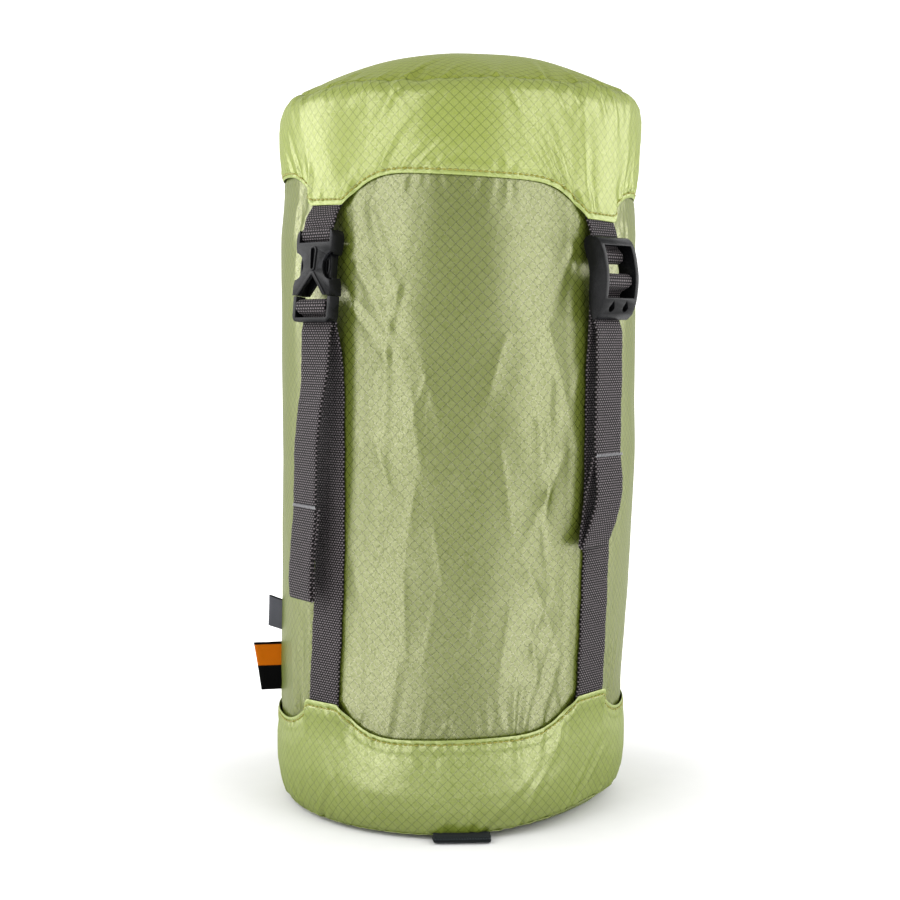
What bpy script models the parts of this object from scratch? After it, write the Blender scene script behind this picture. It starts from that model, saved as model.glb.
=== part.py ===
"""Cylindrical compression stuff sack with a strapped lid, standing on its base.

Frame: metres, +Z up, origin at the centre of the flat base, front towards -Y.
Each strap is drawn in its own plane: 'out' is the distance from the sack's axis and
z the height, and the strap's empty turns that plane round the sack.
"""

import math

import bmesh
import bpy
from mathutils import Matrix, Vector

# Fabric body
TUBE_RADIUS = 0.0895
CLOTH = 0.0012
TUBE_BOTTOM = 0.0190
TUBE_TOP = 0.3430
TUBE_LEVELS = (0.24, 0.13)
SEGMENTS = 64
CAP_RADIUS = 0.0916
GAP = 0.0003

# Lid: hem, crown seam and dome. Its hem sits aslant, lower towards +X, and its crown the other way.
LID_HEM_TONGUE = 0.2975
LID_HEM_SCALLOP = 0.3125
LID_SEAM_Z = 0.3590
LID_SEAM_RADIUS = 0.0850
LID_DOME = 0.0215
LID_SLOPE = -0.054
CROWN_SLOPE = 0.012
DOME_POWER = 2.4
# (radius, share of the way up) of the lid's wall
LID_WALL = (
    (CAP_RADIUS, 0.0),
    (CAP_RADIUS + 0.0006, 0.35),
    (CAP_RADIUS + 0.0010, 0.70),
    (CAP_RADIUS - 0.0006, 0.88),
    (LID_SEAM_RADIUS + 0.0040, 0.96),
    (LID_SEAM_RADIUS + 0.0012, 1.0),
)
LID_ROWS = (10, 8)

# Base cap
BASE_HEM_TONGUE = 0.0632
BASE_HEM_SCALLOP = 0.0485
BASE_SLOPE = 0.027
BASE_SEAM_Z = 0.0045
BASE_SEAM_RADIUS = 0.0850
BASE_FLAT_RADIUS = 0.0680
BASE_CLOTH = 0.0016
# (radius, share of the way up) of the base cap's wall
BASE_WALL = (
    (BASE_SEAM_RADIUS + 0.0012, 0.0),
    (CAP_RADIUS - 0.0020, 0.10),
    (CAP_RADIUS - 0.0004, 0.24),
    (CAP_RADIUS, 0.60),
    (CAP_RADIUS, 1.0),
)
BASE_ROWS = 9

# Hem tongues: half angle of the flat tip, and of the whole tongue
TONGUE_TIP = math.radians(6.5)
TONGUE_FOOT = math.radians(30.0)

# Seam tape inside the body
TAPE_SIZE = (0.0012, 0.0090)
TAPE_INSET = 0.0016
TAPE_SHORTER = 0.0040

# Drawn-in throat below the lid
THROAT_FOOT_Z = TUBE_TOP + GAP
THROAT_MOUTH_RADIUS = 0.0300
THROAT_MOUTH_Z = 0.3510
THROAT_SHOULDER = (0.018, 0.0022)
THROAT_NECK = (0.022, 0.0030)
CHANNEL_RADIUS = 0.0022
CHANNEL_LIFT = 0.0009
CHANNEL_STEPS = (8, 40)
EYELET = (0.0014, 0.0026, 0.0006)
EYELET_STEPS = 20

# Webbing: its size, how far the lower straps stand off the axis, and the lid hem's height over a clip
WEB_WIDTH = 0.0200
WEB = 0.0015
STRAP_OUT = 0.0921
HEM_TO_CLIP = 0.0080

# Side-release buckle
CLIP_OUT = 0.0965
CLIP_DEPTH = 0.0076
CLIP_TOP = 0.2880
CLIP_SPLIT = 0.2573
CLIP_BOTTOM = 0.2448
CLIP_HALF = 0.0128
CLIP_BAR_Z = 0.2522
CLIP_BAR_HALF = 0.0014
CLIP_TOP_BAR_Z = 0.2866
CLIP_CORNER = 0.0028
CLIP_FRAME_HALF = 0.0030
CLIP_RELIEF = 0.0008
CLIP_WRAP_RADIUS = 0.00285
RAIL = 0.0021
# (x, z) along the socket's right side, from its mouth to its top
CLIP_SHOULDER = (
    (0.0128, 0.2575),
    (0.0127, 0.2615),
    (0.0115, 0.2660),
    (0.0110, 0.2710),
    (0.0113, 0.2760),
    (0.0122, 0.2805),
    (0.0123, 0.2845),
    (0.0117, 0.2868),
    (0.0106, 0.2880),
)
# The socket's cavity, V notch, webbing slot, keyhole, side windows and waist
CUT_SPARE = 0.0010
CAVITY_HALF = 0.0108
CAVITY_DEPTH = 0.0022
CAVITY_TOP = 0.2800
NOTCH_HALF = 0.0094
NOTCH_TOP = 0.2672
NOTCH_RIM = 0.0011
SLOT = (0.2822, 0.2855)
SLOT_HALF = 0.0104
LIP_FOOT = 0.2840
KEYHOLE = (0.2782, 0.2703)
KEY_HALF = (0.0014, 0.0009)
KEY_RIM = (0.0023, 0.0017)
KEY_DEPTH = 0.0014
RIM_ROOT = 0.0003
RIM_HEIGHT = 0.0005
SIDE_WINDOW = (0.0091, 0.2655, 0.2765)
WAIST_CENTRE = (0.0126, 0.2710)
WAIST_SIZE = (0.0060, 0.0066)
WAIST_FLOOR = 0.0015
TOP_BAR = (0.0012, 0.0014)
# The plug's spring arms: (x, z) of their foot and outline, and the oval ring on each head
PRONG_DEPTH = 0.0017
PRONG_RING = (0.0086, 0.2712)
PRONG_FOOT = ((0.0086, CLIP_SPLIT - 0.0001), (0.0103, CLIP_SPLIT - 0.0001))
PRONG_OUTER = ((0.0103, 0.2640), (0.0106, 0.2690), (0.0105, 0.2735), (0.0094, 0.2768), (0.0078, 0.2770))
PRONG_INNER = ((0.0068, 0.2745), (0.0066, 0.2700), (0.0076, 0.2655), (0.0086, 0.2620))
RING_SIZE = (0.0016, 0.0042)
RING_HEIGHT = 0.0004
DIMPLE_SIZE = (0.0009, 0.0033)
# The clip's tilt, about a pivot given as (out, z)
CLIP_PIVOT = (0.0940, 0.2872)
CLIP_TILT = math.radians(6.0)
# (out, z) of the webbing's plies round the clip's two bars, before the clip's tilt
CLIP_LOOP_END = (0.0928, 0.2905)
CLIP_WRAP_START = (0.0927, 0.2494)
CLIP_WRAP_END = ((0.0955, 0.2488), (0.0944, 0.2470), (0.0944, CLIP_BOTTOM))
CLIP_STRAP_TOP = (0.0926, 0.2490)

# Ladder-lock buckle: bars and pivot as (out, z)
LOCK_TOP = 0.2857
LOCK_BOTTOM = 0.2467
LOCK_HALF = 0.0129
LOCK_WINDOW_HALF = 0.0104
LOCK_BAR = (0.1010, 0.2650)
LOCK_LOOP_BAR = (0.0958, 0.2765)
LOCK_PIVOT = (0.0940, 0.2872)
LOCK_BAR_HALF = 0.0012
LOCK_WRAP_RADIUS = 0.0027
LOCK_WINDOW = (0.2568, 0.2817)
LOCK_TOP_CUT = (0.0964, 0.2800)
# (out, z) outlines of its side rails, back and front, and of the room behind its lower plate
LOCK_BACK = (
    (0.0990, LOCK_BOTTOM),
    (0.0975, LOCK_BOTTOM),
    (0.0960, 0.2505),
    (0.0953, 0.2560),
    (0.0955, 0.2680),
    (0.0945, 0.2740),
    (0.0925, 0.2800),
    (0.0922, 0.2840),
    (0.0935, LOCK_TOP),
)
LOCK_FRONT = (
    (0.0985, LOCK_TOP),
    (0.1012, 0.2838),
    (0.1035, 0.2790),
    (0.1050, 0.2720),
    (0.1056, 0.2660),
    (0.1052, 0.2600),
    (0.1040, 0.2540),
    (0.1018, 0.2490),
)
LOCK_BEHIND_PLATE = (
    (0.0900, 0.2460),
    (0.0972, 0.2460),
    (0.0984, 0.2500),
    (0.1012, 0.2580),
    (0.1012, 0.2600),
    (0.0900, 0.2600),
)
# (out, z) of the webbing's plies either side of the lock's two bars
LOCK_LOOP_FRONT = ((0.0950, LOCK_PIVOT[1] - GAP), (0.0951, 0.2812))
LOCK_LOOP_BACK = ((0.0932, 0.2805), (0.0932, LOCK_PIVOT[1] - GAP))
LOCK_WRAP_BACK = ((0.0938, LOCK_BOTTOM), (0.0940, 0.2520), (0.0962, 0.2585))
LOCK_WRAP_FRONT = ((0.0984, 0.2592), (0.0963, 0.2545), (0.0960, LOCK_BOTTOM))
DROP_CENTRE = (0.0054, 0.2522)
DROP_RADIUS = 0.0021
DROP_TIP = (0.0050, 0.2556)

# The hanging ends: how far they stand off their buckle, and the pitch of the two plies of their finger loops
TAIL_STAND_OFF = 0.0022
LOOP_PITCH = 0.0022
LOOP_BULGE = 0.0026
# (lowest point, stitch) of the ends that hang from each kind of buckle
TAIL_ENDS = {"clip": (0.112, 0.1575), "lock": (0.138, 0.182)}

# (centre, size) of the tags in the side seam at -X and of the tab under the base's front
SIZE_TAG = ((-TUBE_RADIUS - 0.0043, 0.0, 0.0940), (0.0076, 0.0009, 0.0165))
SIDE_TAG = ((-TUBE_RADIUS - 0.0077, 0.0, 0.0660), (0.0144, 0.0012, 0.0255))
BASE_TAB = ((0.0, -0.0885, 0.0021), (0.0285, 0.0095, 0.0030))

STRAPS = {
    "front_left": (-45.0, "clip"),
    "front_right": (45.0, "lock"),
    "back_right": (135.0, "lock"),
    "back_left": (-135.0, "clip"),
}


def clear_scene():
    for obj in list(bpy.data.objects):
        bpy.data.objects.remove(obj, do_unlink=True)


def new_collection(name):
    collection = bpy.data.collections.new(name)
    bpy.context.scene.collection.children.link(collection)
    return collection


def material(name, colour, roughness, metallic=0.0):
    made = bpy.data.materials.new(name)
    made.use_nodes = True
    shader = made.node_tree.nodes["Principled BSDF"]
    shader.inputs["Base Color"].default_value = (*colour, 1.0)
    shader.inputs["Roughness"].default_value = roughness
    shader.inputs["Metallic"].default_value = metallic
    return made


def add_mesh(name, shape, where, look=None):
    mesh = bpy.data.meshes.new(name)
    shape.to_mesh(mesh)
    shape.free()
    obj = bpy.data.objects.new(name, mesh)
    where.objects.link(obj)
    if look:
        mesh.materials.append(look)
    return obj


def solidify(obj, thickness, offset=-1.0):
    shell = obj.modifiers.new("Solidify", "SOLIDIFY")
    shell.thickness = thickness
    shell.offset = offset
    shell.use_even_offset = True


def boolean(obj, other, operation="DIFFERENCE"):
    cut = obj.modifiers.new("Boolean", "BOOLEAN")
    cut.operation = operation
    cut.object = other
    cut.solver = "EXACT"


def helper(obj):
    obj.hide_render = True
    obj.display_type = "WIRE"
    return obj


def to_mesh_object(obj, weld=1e-6):
    """A curve's evaluated mesh, welded, in an object that takes the curve's place."""
    name = obj.name
    graph = bpy.context.evaluated_depsgraph_get()
    mesh = bpy.data.meshes.new_from_object(obj.evaluated_get(graph))
    shape = bmesh.new()
    shape.from_mesh(mesh)
    bmesh.ops.remove_doubles(shape, verts=shape.verts, dist=weld)
    bmesh.ops.recalc_face_normals(shape, faces=shape.faces)
    shape.to_mesh(mesh)
    shape.free()
    home = obj.users_collection[0]
    matrix = obj.matrix_world.copy()
    bpy.data.objects.remove(obj, do_unlink=True)
    made = bpy.data.objects.new(name, mesh)
    made.matrix_world = matrix
    home.objects.link(made)
    return made


def tongue_share(angle):
    """1 on a hem's tongue tip, 0 on the scallops; tongues stand every 90 degrees."""
    off = (angle - math.pi / 4) % (math.pi / 2)
    off = min(off, math.pi / 2 - off)
    climb = (off - TONGUE_TIP) / (TONGUE_FOOT - TONGUE_TIP)
    return (1 - min(max(climb, 0.0), 1.0)) ** 3


def lid_hem(angle):
    rise = (LID_HEM_SCALLOP - LID_HEM_TONGUE) * (1 - tongue_share(angle))
    return LID_HEM_TONGUE + rise


def base_hem(angle):
    fall = (BASE_HEM_TONGUE - BASE_HEM_SCALLOP) * (1 - tongue_share(angle))
    return BASE_HEM_TONGUE - fall


def rolled_grid(rings, place):
    """A grid rolled round Z: place(angle, share) gives radius and height, share 0 to 1 up."""
    shape = bmesh.new()
    bmesh.ops.create_grid(shape, x_segments=SEGMENTS, y_segments=rings, size=0.5)
    for vert in shape.verts:
        angle = (vert.co.x + 0.5) * math.tau
        radius, height = place(angle, vert.co.y + 0.5)
        vert.co = Vector((radius * math.cos(angle), radius * math.sin(angle), height))
    bmesh.ops.remove_doubles(shape, verts=shape.verts, dist=1e-6)
    bmesh.ops.recalc_face_normals(shape, faces=shape.faces)
    return shape


def facing_out(shape):
    """Turns an open shell so that its faces look away from the sack's middle."""
    middle = Vector((0.0, 0.0, (TUBE_TOP + TUBE_BOTTOM) / 2))
    face = max(shape.faces, key=lambda f: f.calc_area())
    if face.normal.dot(face.calc_center_median() - middle) < 0:
        bmesh.ops.reverse_faces(shape, faces=shape.faces)
    return shape


def along(points, share):
    """The point at this share of a polyline's parameter."""
    place = share * (len(points) - 1)
    index = min(int(place), len(points) - 2)
    part = place - index
    first, second = points[index], points[index + 1]
    return tuple(a + (b - a) * part for a, b in zip(first, second))


def aslant(height, slope, x):
    return height + slope * x


def make_lid(where, look):
    def wall(angle, share):
        radius, climb = along(LID_WALL, share)
        low = lid_hem(angle)
        height = low + (LID_SEAM_Z - low) * climb
        slope = LID_SLOPE + (CROWN_SLOPE - LID_SLOPE) * climb
        return radius, aslant(height, slope, radius * math.cos(angle))

    def dome(angle, share):
        radius = LID_SEAM_RADIUS * (1 - share)
        height = LID_SEAM_Z + LID_DOME * (1 - (1 - share) ** DOME_POWER)
        return radius, aslant(height, CROWN_SLOPE, radius * math.cos(angle))

    cap = add_mesh("top_cap", facing_out(rolled_grid(LID_ROWS[0], wall)), where, look)
    solidify(cap, CLOTH)
    disc = add_mesh("top_disc", facing_out(rolled_grid(LID_ROWS[1], dome)), where, look)
    solidify(disc, CLOTH)


def make_base(where, look):
    def wall(angle, share):
        radius, climb = along(BASE_WALL, share)
        high = base_hem(angle)
        height = BASE_SEAM_Z + (high - BASE_SEAM_Z) * climb
        return radius, height + BASE_SLOPE * climb * radius * math.cos(angle)

    cap = add_mesh("bottom_cap", facing_out(rolled_grid(BASE_ROWS, wall)), where, look)
    solidify(cap, CLOTH)

    shape = bmesh.new()
    profile = [
        (BASE_FLAT_RADIUS, 0.0),
        (BASE_SEAM_RADIUS, BASE_SEAM_Z),
        (BASE_SEAM_RADIUS, BASE_SEAM_Z + BASE_CLOTH),
        (BASE_FLAT_RADIUS, BASE_CLOTH),
    ]
    rings = []
    for radius, height in profile:
        ring = bmesh.ops.create_circle(shape, radius=radius, segments=SEGMENTS)["verts"]
        bmesh.ops.translate(shape, verts=ring, vec=(0, 0, height))
        rings.append(ring)
    for lower, upper in zip(rings, rings[1:]):
        for i in range(SEGMENTS):
            j = (i + 1) % SEGMENTS
            shape.faces.new((lower[i], lower[j], upper[j], upper[i]))
    shape.faces.new(list(reversed(rings[0])))
    shape.faces.new(rings[-1])
    bmesh.ops.recalc_face_normals(shape, faces=shape.faces)
    add_mesh("bottom_disc", shape, where, look)


def turned(name, profile, where, look, steps=SEGMENTS):
    """An open profile of (radius, height), outer side run from top to bottom, turned round Z."""
    shape = bmesh.new()
    verts = [shape.verts.new((radius, 0.0, height)) for radius, height in profile]
    for first, second in zip(verts, verts[1:] + verts[:1]):
        shape.edges.new((first, second))
    obj = add_mesh(name, shape, where, look)
    screw = obj.modifiers.new("Screw", "SCREW")
    screw.steps = steps
    screw.render_steps = steps
    screw.use_merge_vertices = True
    screw.merge_threshold = 0.00001
    return obj


def make_tube(where, look, tape_look):
    inner = TUBE_RADIUS - CLOTH
    levels = [TUBE_TOP, *TUBE_LEVELS, TUBE_BOTTOM]
    outside = [(TUBE_RADIUS, z) for z in levels]
    inside = [(inner, z) for z in reversed(levels)]
    turned("body_tube", outside + inside, where, look)

    tape = bmesh.new()
    length = TUBE_TOP - TUBE_BOTTOM - TAPE_SHORTER
    middle = Vector((-inner + TAPE_INSET, 0.0, (TUBE_TOP + TUBE_BOTTOM) / 2))
    size = Matrix.Diagonal((*TAPE_SIZE, length, 1.0))
    bmesh.ops.create_cube(tape, size=1.0, matrix=Matrix.Translation(middle) @ size)
    add_mesh("side_seam_tape", tape, where, tape_look)


def make_throat(where, cloth_look, hard_look):
    mouth, foot = THROAT_MOUTH_RADIUS, TUBE_RADIUS
    slope = [
        (foot, THROAT_FOOT_Z),
        (foot - THROAT_SHOULDER[0], THROAT_FOOT_Z + THROAT_SHOULDER[1]),
        (mouth + THROAT_NECK[0], THROAT_MOUTH_Z - THROAT_NECK[1]),
        (mouth + GAP, THROAT_MOUTH_Z - CHANNEL_LIFT),
    ]
    lifted = [(radius, height + CLOTH) for radius, height in slope]
    turned("throat", list(reversed(lifted)) + slope, where, cloth_look)

    sides, steps = CHANNEL_STEPS
    ring = []
    for i in range(sides):
        turn = -math.tau * i / sides
        ring.append(
            (
                mouth + CHANNEL_RADIUS * math.cos(turn),
                THROAT_MOUTH_Z + CHANNEL_RADIUS + CHANNEL_LIFT + CHANNEL_RADIUS * math.sin(turn),
            )
        )
    turned("throat_channel", ring, where, cloth_look, steps)

    hole, rim, half = EYELET
    profile = [(rim, half), (rim, -half), (hole, -half), (hole, half)]
    eyelet = turned("cord_eyelet", profile, where, hard_look, EYELET_STEPS)
    top_of_channel = THROAT_MOUTH_Z + 2 * CHANNEL_RADIUS + CHANNEL_LIFT
    eyelet.location = (0.0, -mouth, top_of_channel + half + GAP)


def flat_outline(name, points, width, where, look=None):
    """A closed outline of (out, z) points, as wide as given across the strap's plane."""
    curve = bpy.data.curves.new(name, "CURVE")
    curve.dimensions = "2D"
    curve.fill_mode = "BOTH"
    curve.extrude = width / 2
    spline = curve.splines.new("POLY")
    spline.points.add(len(points) - 1)
    for point, (out, z) in zip(spline.points, points):
        point.co = (-out, z, 0.0, 1.0)
    spline.use_cyclic_u = True
    if look:
        curve.materials.append(look)
    obj = bpy.data.objects.new(name, curve)
    where.objects.link(obj)
    obj.rotation_euler = (math.pi / 2, 0.0, math.pi / 2)
    return obj


def ribbon(path, thickness=WEB):
    """The outline of a strip that follows a path of (out, z) points."""
    left, right = [], []
    for i, (out, z) in enumerate(path):
        before = Vector(path[max(i - 1, 0)])
        after = Vector(path[min(i + 1, len(path) - 1)])
        here = Vector((out, z))
        first = (here - before).normalized() if i else (after - here).normalized()
        last = (after - here).normalized() if i < len(path) - 1 else first
        mean = (first + last).normalized()
        normal = Vector((-mean.y, mean.x))
        reach = thickness / 2 / max(mean.dot(first), 0.5)
        left.append(tuple(here + normal * reach))
        right.append(tuple(here - normal * reach))
    return left + right[::-1]


def arc(centre, radius, start, end, steps):
    """Points round a centre, angles in degrees from outwards, positive upwards."""
    made = []
    for i in range(steps + 1):
        turn = math.radians(start + (end - start) * i / steps)
        made.append(
            (centre[0] + radius * math.cos(turn), centre[1] + radius * math.sin(turn))
        )
    return made


def flowing(points, steps):
    """Points of a smooth curve through these ones, with this many steps between each two."""
    padded = [points[0]] + list(points) + [points[-1]]
    made = []
    for before, first, second, after in zip(padded, padded[1:], padded[2:], padded[3:]):
        for i in range(steps):
            t = i / steps
            made.append(
                tuple(
                    b + 0.5 * t * (c - a + t * (2 * a - 5 * b + 4 * c - d + t * (3 * (b - c) + d - a)))
                    for a, b, c, d in zip(before, first, second, after)
                )
            )
    made.append(tuple(points[-1]))
    return made


def oval(centre, half_sizes, steps):
    """Points of an upright oval, counter-clockwise."""
    turns = [math.tau * i / steps for i in range(steps)]
    return [
        (centre[0] + half_sizes[0] * math.cos(turn), centre[1] + half_sizes[1] * math.sin(turn))
        for turn in turns
    ]


def box(name, low, high, where, look=None):
    """A box between two corners given as (x, out, z) in a strap's frame."""
    shape = bmesh.new()
    middle = [(a + b) / 2 for a, b in zip(low, high)]
    size = [abs(b - a) for a, b in zip(low, high)]
    centre = Matrix.Translation((middle[0], -middle[1], middle[2]))
    bmesh.ops.create_cube(
        shape, size=1.0, matrix=centre @ Matrix.Diagonal((*size, 1.0))
    )
    return add_mesh(name, shape, where, look)


def front_outline(name, points, low, high, where, look=None):
    """A closed outline of (x, z) points, filled between two distances from the axis."""
    curve = bpy.data.curves.new(name, "CURVE")
    curve.dimensions = "2D"
    curve.fill_mode = "BOTH"
    curve.extrude = (high - low) / 2
    spline = curve.splines.new("POLY")
    spline.points.add(len(points) - 1)
    for point, (x, z) in zip(spline.points, points):
        point.co = (x, z, 0.0, 1.0)
    spline.use_cyclic_u = True
    obj = bpy.data.objects.new(name, curve)
    where.objects.link(obj)
    obj.rotation_euler = (math.pi / 2, 0.0, 0.0)
    obj.location = (0.0, -(low + high) / 2, 0.0)
    bpy.context.view_layer.update()
    obj = to_mesh_object(obj)
    if look:
        obj.data.materials.append(look)
    return obj


def mirrored(half):
    """A half outline at x >= 0, closed with its mirror image."""
    return half + [(-x, z) for x, z in reversed(half)]


def clip_female(side, where, cutters, look):
    """The socket: a waisted shell with side windows, a raised keyhole and a raised rim round its V notch."""
    low, high = CLIP_OUT - CLIP_DEPTH / 2, CLIP_OUT + CLIP_DEPTH / 2
    through = (low - CUT_SPARE, high + CUT_SPARE)
    raised = (high - RIM_ROOT, high + RIM_HEIGHT)
    outline = mirrored([(CLIP_HALF, CLIP_SPLIT)] + flowing(CLIP_SHOULDER, 3))
    body = front_outline("clip_female_" + side, outline, low, high, where, look)

    key_top, key_foot = KEYHOLE
    rims = [
        front_outline(
            side + "_key_rim",
            arc((0.0, key_top), KEY_RIM[0], 0, 180, 8) + arc((0.0, key_foot), KEY_RIM[1], 180, 360, 6),
            *raised,
            cutters,
        ),
        front_outline(
            side + "_notch_rim",
            mirrored([(NOTCH_HALF + NOTCH_RIM, CLIP_SPLIT), (NOTCH_RIM, NOTCH_TOP + NOTCH_RIM)]),
            *raised,
            cutters,
        ),
    ]
    cuts = [
        box(
            side + "_cavity_cut",
            (-CAVITY_HALF, CLIP_OUT - CAVITY_DEPTH, CLIP_SPLIT - CUT_SPARE),
            (CAVITY_HALF, CLIP_OUT + CAVITY_DEPTH, CAVITY_TOP),
            cutters,
        ),
        front_outline(
            side + "_notch_cut",
            [(-NOTCH_HALF, CLIP_SPLIT - CUT_SPARE), (NOTCH_HALF, CLIP_SPLIT - CUT_SPARE), (0.0, NOTCH_TOP)],
            *through,
            cutters,
        ),
        box(
            side + "_slot_cut",
            (-SLOT_HALF, through[0], SLOT[0]),
            (SLOT_HALF, through[1], SLOT[1]),
            cutters,
        ),
        box(
            side + "_lip_cut",
            (-SLOT_HALF, CLIP_OUT + TOP_BAR[0], LIP_FOOT),
            (SLOT_HALF, through[1], CLIP_TOP + CUT_SPARE),
            cutters,
        ),
        box(
            side + "_back_lip_cut",
            (-SLOT_HALF, through[0], LIP_FOOT),
            (SLOT_HALF, CLIP_OUT - TOP_BAR[1], CLIP_TOP + CUT_SPARE),
            cutters,
        ),
        front_outline(
            side + "_key_cut",
            arc((0.0, key_top), KEY_HALF[0], 0, 180, 8) + arc((0.0, key_foot), KEY_HALF[1], 180, 360, 6),
            high - KEY_DEPTH,
            high + CUT_SPARE,
            cutters,
        ),
    ]
    for sign in (-1, 1):
        cuts.append(
            box(
                f"{side}_window_cut_{sign}",
                (sign * SIDE_WINDOW[0], through[0], SIDE_WINDOW[1]),
                (sign * (CLIP_HALF + CUT_SPARE), through[1], SIDE_WINDOW[2]),
                cutters,
            )
        )
        cuts.append(
            front_outline(
                f"{side}_waist_cut_{sign}",
                oval((sign * WAIST_CENTRE[0], WAIST_CENTRE[1]), WAIST_SIZE, 20),
                CLIP_OUT + WAIST_FLOOR,
                high + CUT_SPARE,
                cutters,
            )
        )
    for rim in rims:
        helper(rim)
        boolean(body, rim, "UNION")
    for cutter in cuts:
        helper(cutter)
        boolean(body, cutter)
    return body


def clip_male(side, where, cutters, look):
    low, high = CLIP_OUT - CLIP_FRAME_HALF, CLIP_OUT + CLIP_FRAME_HALF
    corner = CLIP_CORNER
    bottom = arc((CLIP_HALF - corner, CLIP_BOTTOM + corner), corner, -90, 0, 4)
    outline = mirrored(bottom + [(CLIP_HALF, CLIP_SPLIT - GAP)])
    frame = front_outline("clip_male_" + side, outline, low, high, where, look)
    inner = CLIP_HALF - RAIL
    opening = box(
        side + "_male_cut",
        (-inner, low - CUT_SPARE, CLIP_BOTTOM + RAIL),
        (inner, high + CUT_SPARE, CLIP_SPLIT + CUT_SPARE),
        cutters,
    )
    relief = box(
        side + "_relief_cut",
        (-inner, low - CUT_SPARE, CLIP_BOTTOM - CUT_SPARE),
        (inner, CLIP_OUT - CLIP_RELIEF, CLIP_BOTTOM + RAIL + CUT_SPARE),
        cutters,
    )
    bar = box(
        side + "_bar_add",
        (-inner - CUT_SPARE, CLIP_OUT - CLIP_BAR_HALF, CLIP_BAR_Z - CLIP_BAR_HALF),
        (inner + CUT_SPARE, CLIP_OUT + CLIP_BAR_HALF, CLIP_BAR_Z + CLIP_BAR_HALF),
        cutters,
    )
    helper(opening)
    helper(relief)
    helper(bar)
    boolean(frame, opening)
    boolean(frame, relief)
    boolean(frame, bar, "UNION")
    return frame


def clip_prong(side, sign, where, cutters, look):
    """One spring arm of the plug: its rounded head, with a raised oval ring, fills the side window."""
    outline = [(sign * x, z) for x, z in [*PRONG_FOOT, *flowing(PRONG_OUTER, 2), *flowing(PRONG_INNER, 2)]]
    name = "prong_" + side + ("_left" if sign < 0 else "_right")
    face = CLIP_OUT + PRONG_DEPTH
    obj = front_outline(name, outline, CLIP_OUT - PRONG_DEPTH, face, where, look)
    centre = (sign * PRONG_RING[0], PRONG_RING[1])
    ring, hollow = oval(centre, RING_SIZE, 16), oval(centre, DIMPLE_SIZE, 16)
    boss = front_outline(name + "_ring", ring, CLIP_OUT, face + RING_HEIGHT, cutters)
    dimple = front_outline(name + "_dimple", hollow, face - 2 * RING_HEIGHT, face + CUT_SPARE, cutters)
    helper(boss)
    helper(dimple)
    boolean(obj, boss, "UNION")
    boolean(obj, dimple)
    return obj


def ladder_lock(side, where, cutters, look):
    """The tension lock: wavy rails, a window with two bars and a lower plate with two drop-shaped holes."""
    rails = flowing(LOCK_BACK, 3) + flowing(LOCK_FRONT, 3)
    body = flat_outline("ladder_lock_" + side, rails, 2 * LOCK_HALF, where)
    bpy.context.view_layer.update()
    body = to_mesh_object(body)
    body.data.materials.append(look)
    half = LOCK_WINDOW_HALF
    inside = min(out for out, _ in LOCK_BEHIND_PLATE)
    outside = max(out for out, _ in LOCK_FRONT) + CUT_SPARE
    low, high = LOCK_WINDOW
    window = box(side + "_window_cut", (-half, inside, low), (half, outside, high), cutters)
    behind_plate = flat_outline(side + "_plate_cut", LOCK_BEHIND_PLATE, 2 * half, cutters)
    reach, foot = LOCK_TOP_CUT
    behind_top = box(side + "_top_cut", (-half, inside, foot), (half, reach, LOCK_TOP + CUT_SPARE), cutters)
    bpy.context.view_layer.update()
    behind_plate = to_mesh_object(behind_plate)
    drops = []
    for sign in (-1, 1):
        points = arc((sign * DROP_CENTRE[0], DROP_CENTRE[1]), DROP_RADIUS, 180, 360, 8)
        points.append((sign * DROP_TIP[0], DROP_TIP[1]))
        drops.append(front_outline(f"{side}_drop_cut_{sign}", points, LOCK_BACK[2][0], outside, cutters))
    for cutter in (window, behind_plate, behind_top, *drops):
        helper(cutter)
        boolean(body, cutter)
    for index, (out, height) in enumerate((LOCK_BAR, LOCK_LOOP_BAR)):
        bar = box(
            f"{side}_bar_add_{index}",
            (-half - CUT_SPARE, out - LOCK_BAR_HALF, height - LOCK_BAR_HALF),
            (half + CUT_SPARE, out + LOCK_BAR_HALF, height + LOCK_BAR_HALF),
            cutters,
        )
        helper(bar)
        boolean(body, bar, "UNION")
    return body


def tilted(point):
    """An (out, z) point of a clip, turned outwards with the clip about its top."""
    out, rise = point[0] - CLIP_PIVOT[0], point[1] - CLIP_PIVOT[1]
    cos, sin = math.cos(CLIP_TILT), math.sin(CLIP_TILT)
    return (CLIP_PIVOT[0] + out * cos - rise * sin, CLIP_PIVOT[1] + rise * cos + out * sin)


def tongue_tip(hem_z, slope, turn):
    """Height of the hem where a strap leaves it; turn is the strap's angle round Z."""
    return hem_z + slope * CAP_RADIUS * math.sin(turn)


def tail_path(start, bottom, stitch, open_loop):
    """The hanging end: a single ply that folds back behind itself into a finger loop, up to the stitch."""
    out, z = start
    hang = out + TAIL_STAND_OFF
    bulge = LOOP_BULGE if open_loop else 0.0
    front = hang + LOOP_PITCH / 2
    back = front - LOOP_PITCH
    low = bottom + LOOP_PITCH
    mid = (stitch + low) / 2
    path = [(out, z), (hang - 0.0006, z - 0.006), (hang, z - 0.020), (front, stitch + LOOP_PITCH)]
    path += [(front + 0.9 * bulge, mid)]
    turn_centre = (front - LOOP_PITCH / 2, low)
    path += arc(turn_centre, LOOP_PITCH / 2, 0, -180, 4)
    path += [(back - 0.9 * bulge, mid), (back, stitch - LOOP_PITCH)]
    return path


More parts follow.
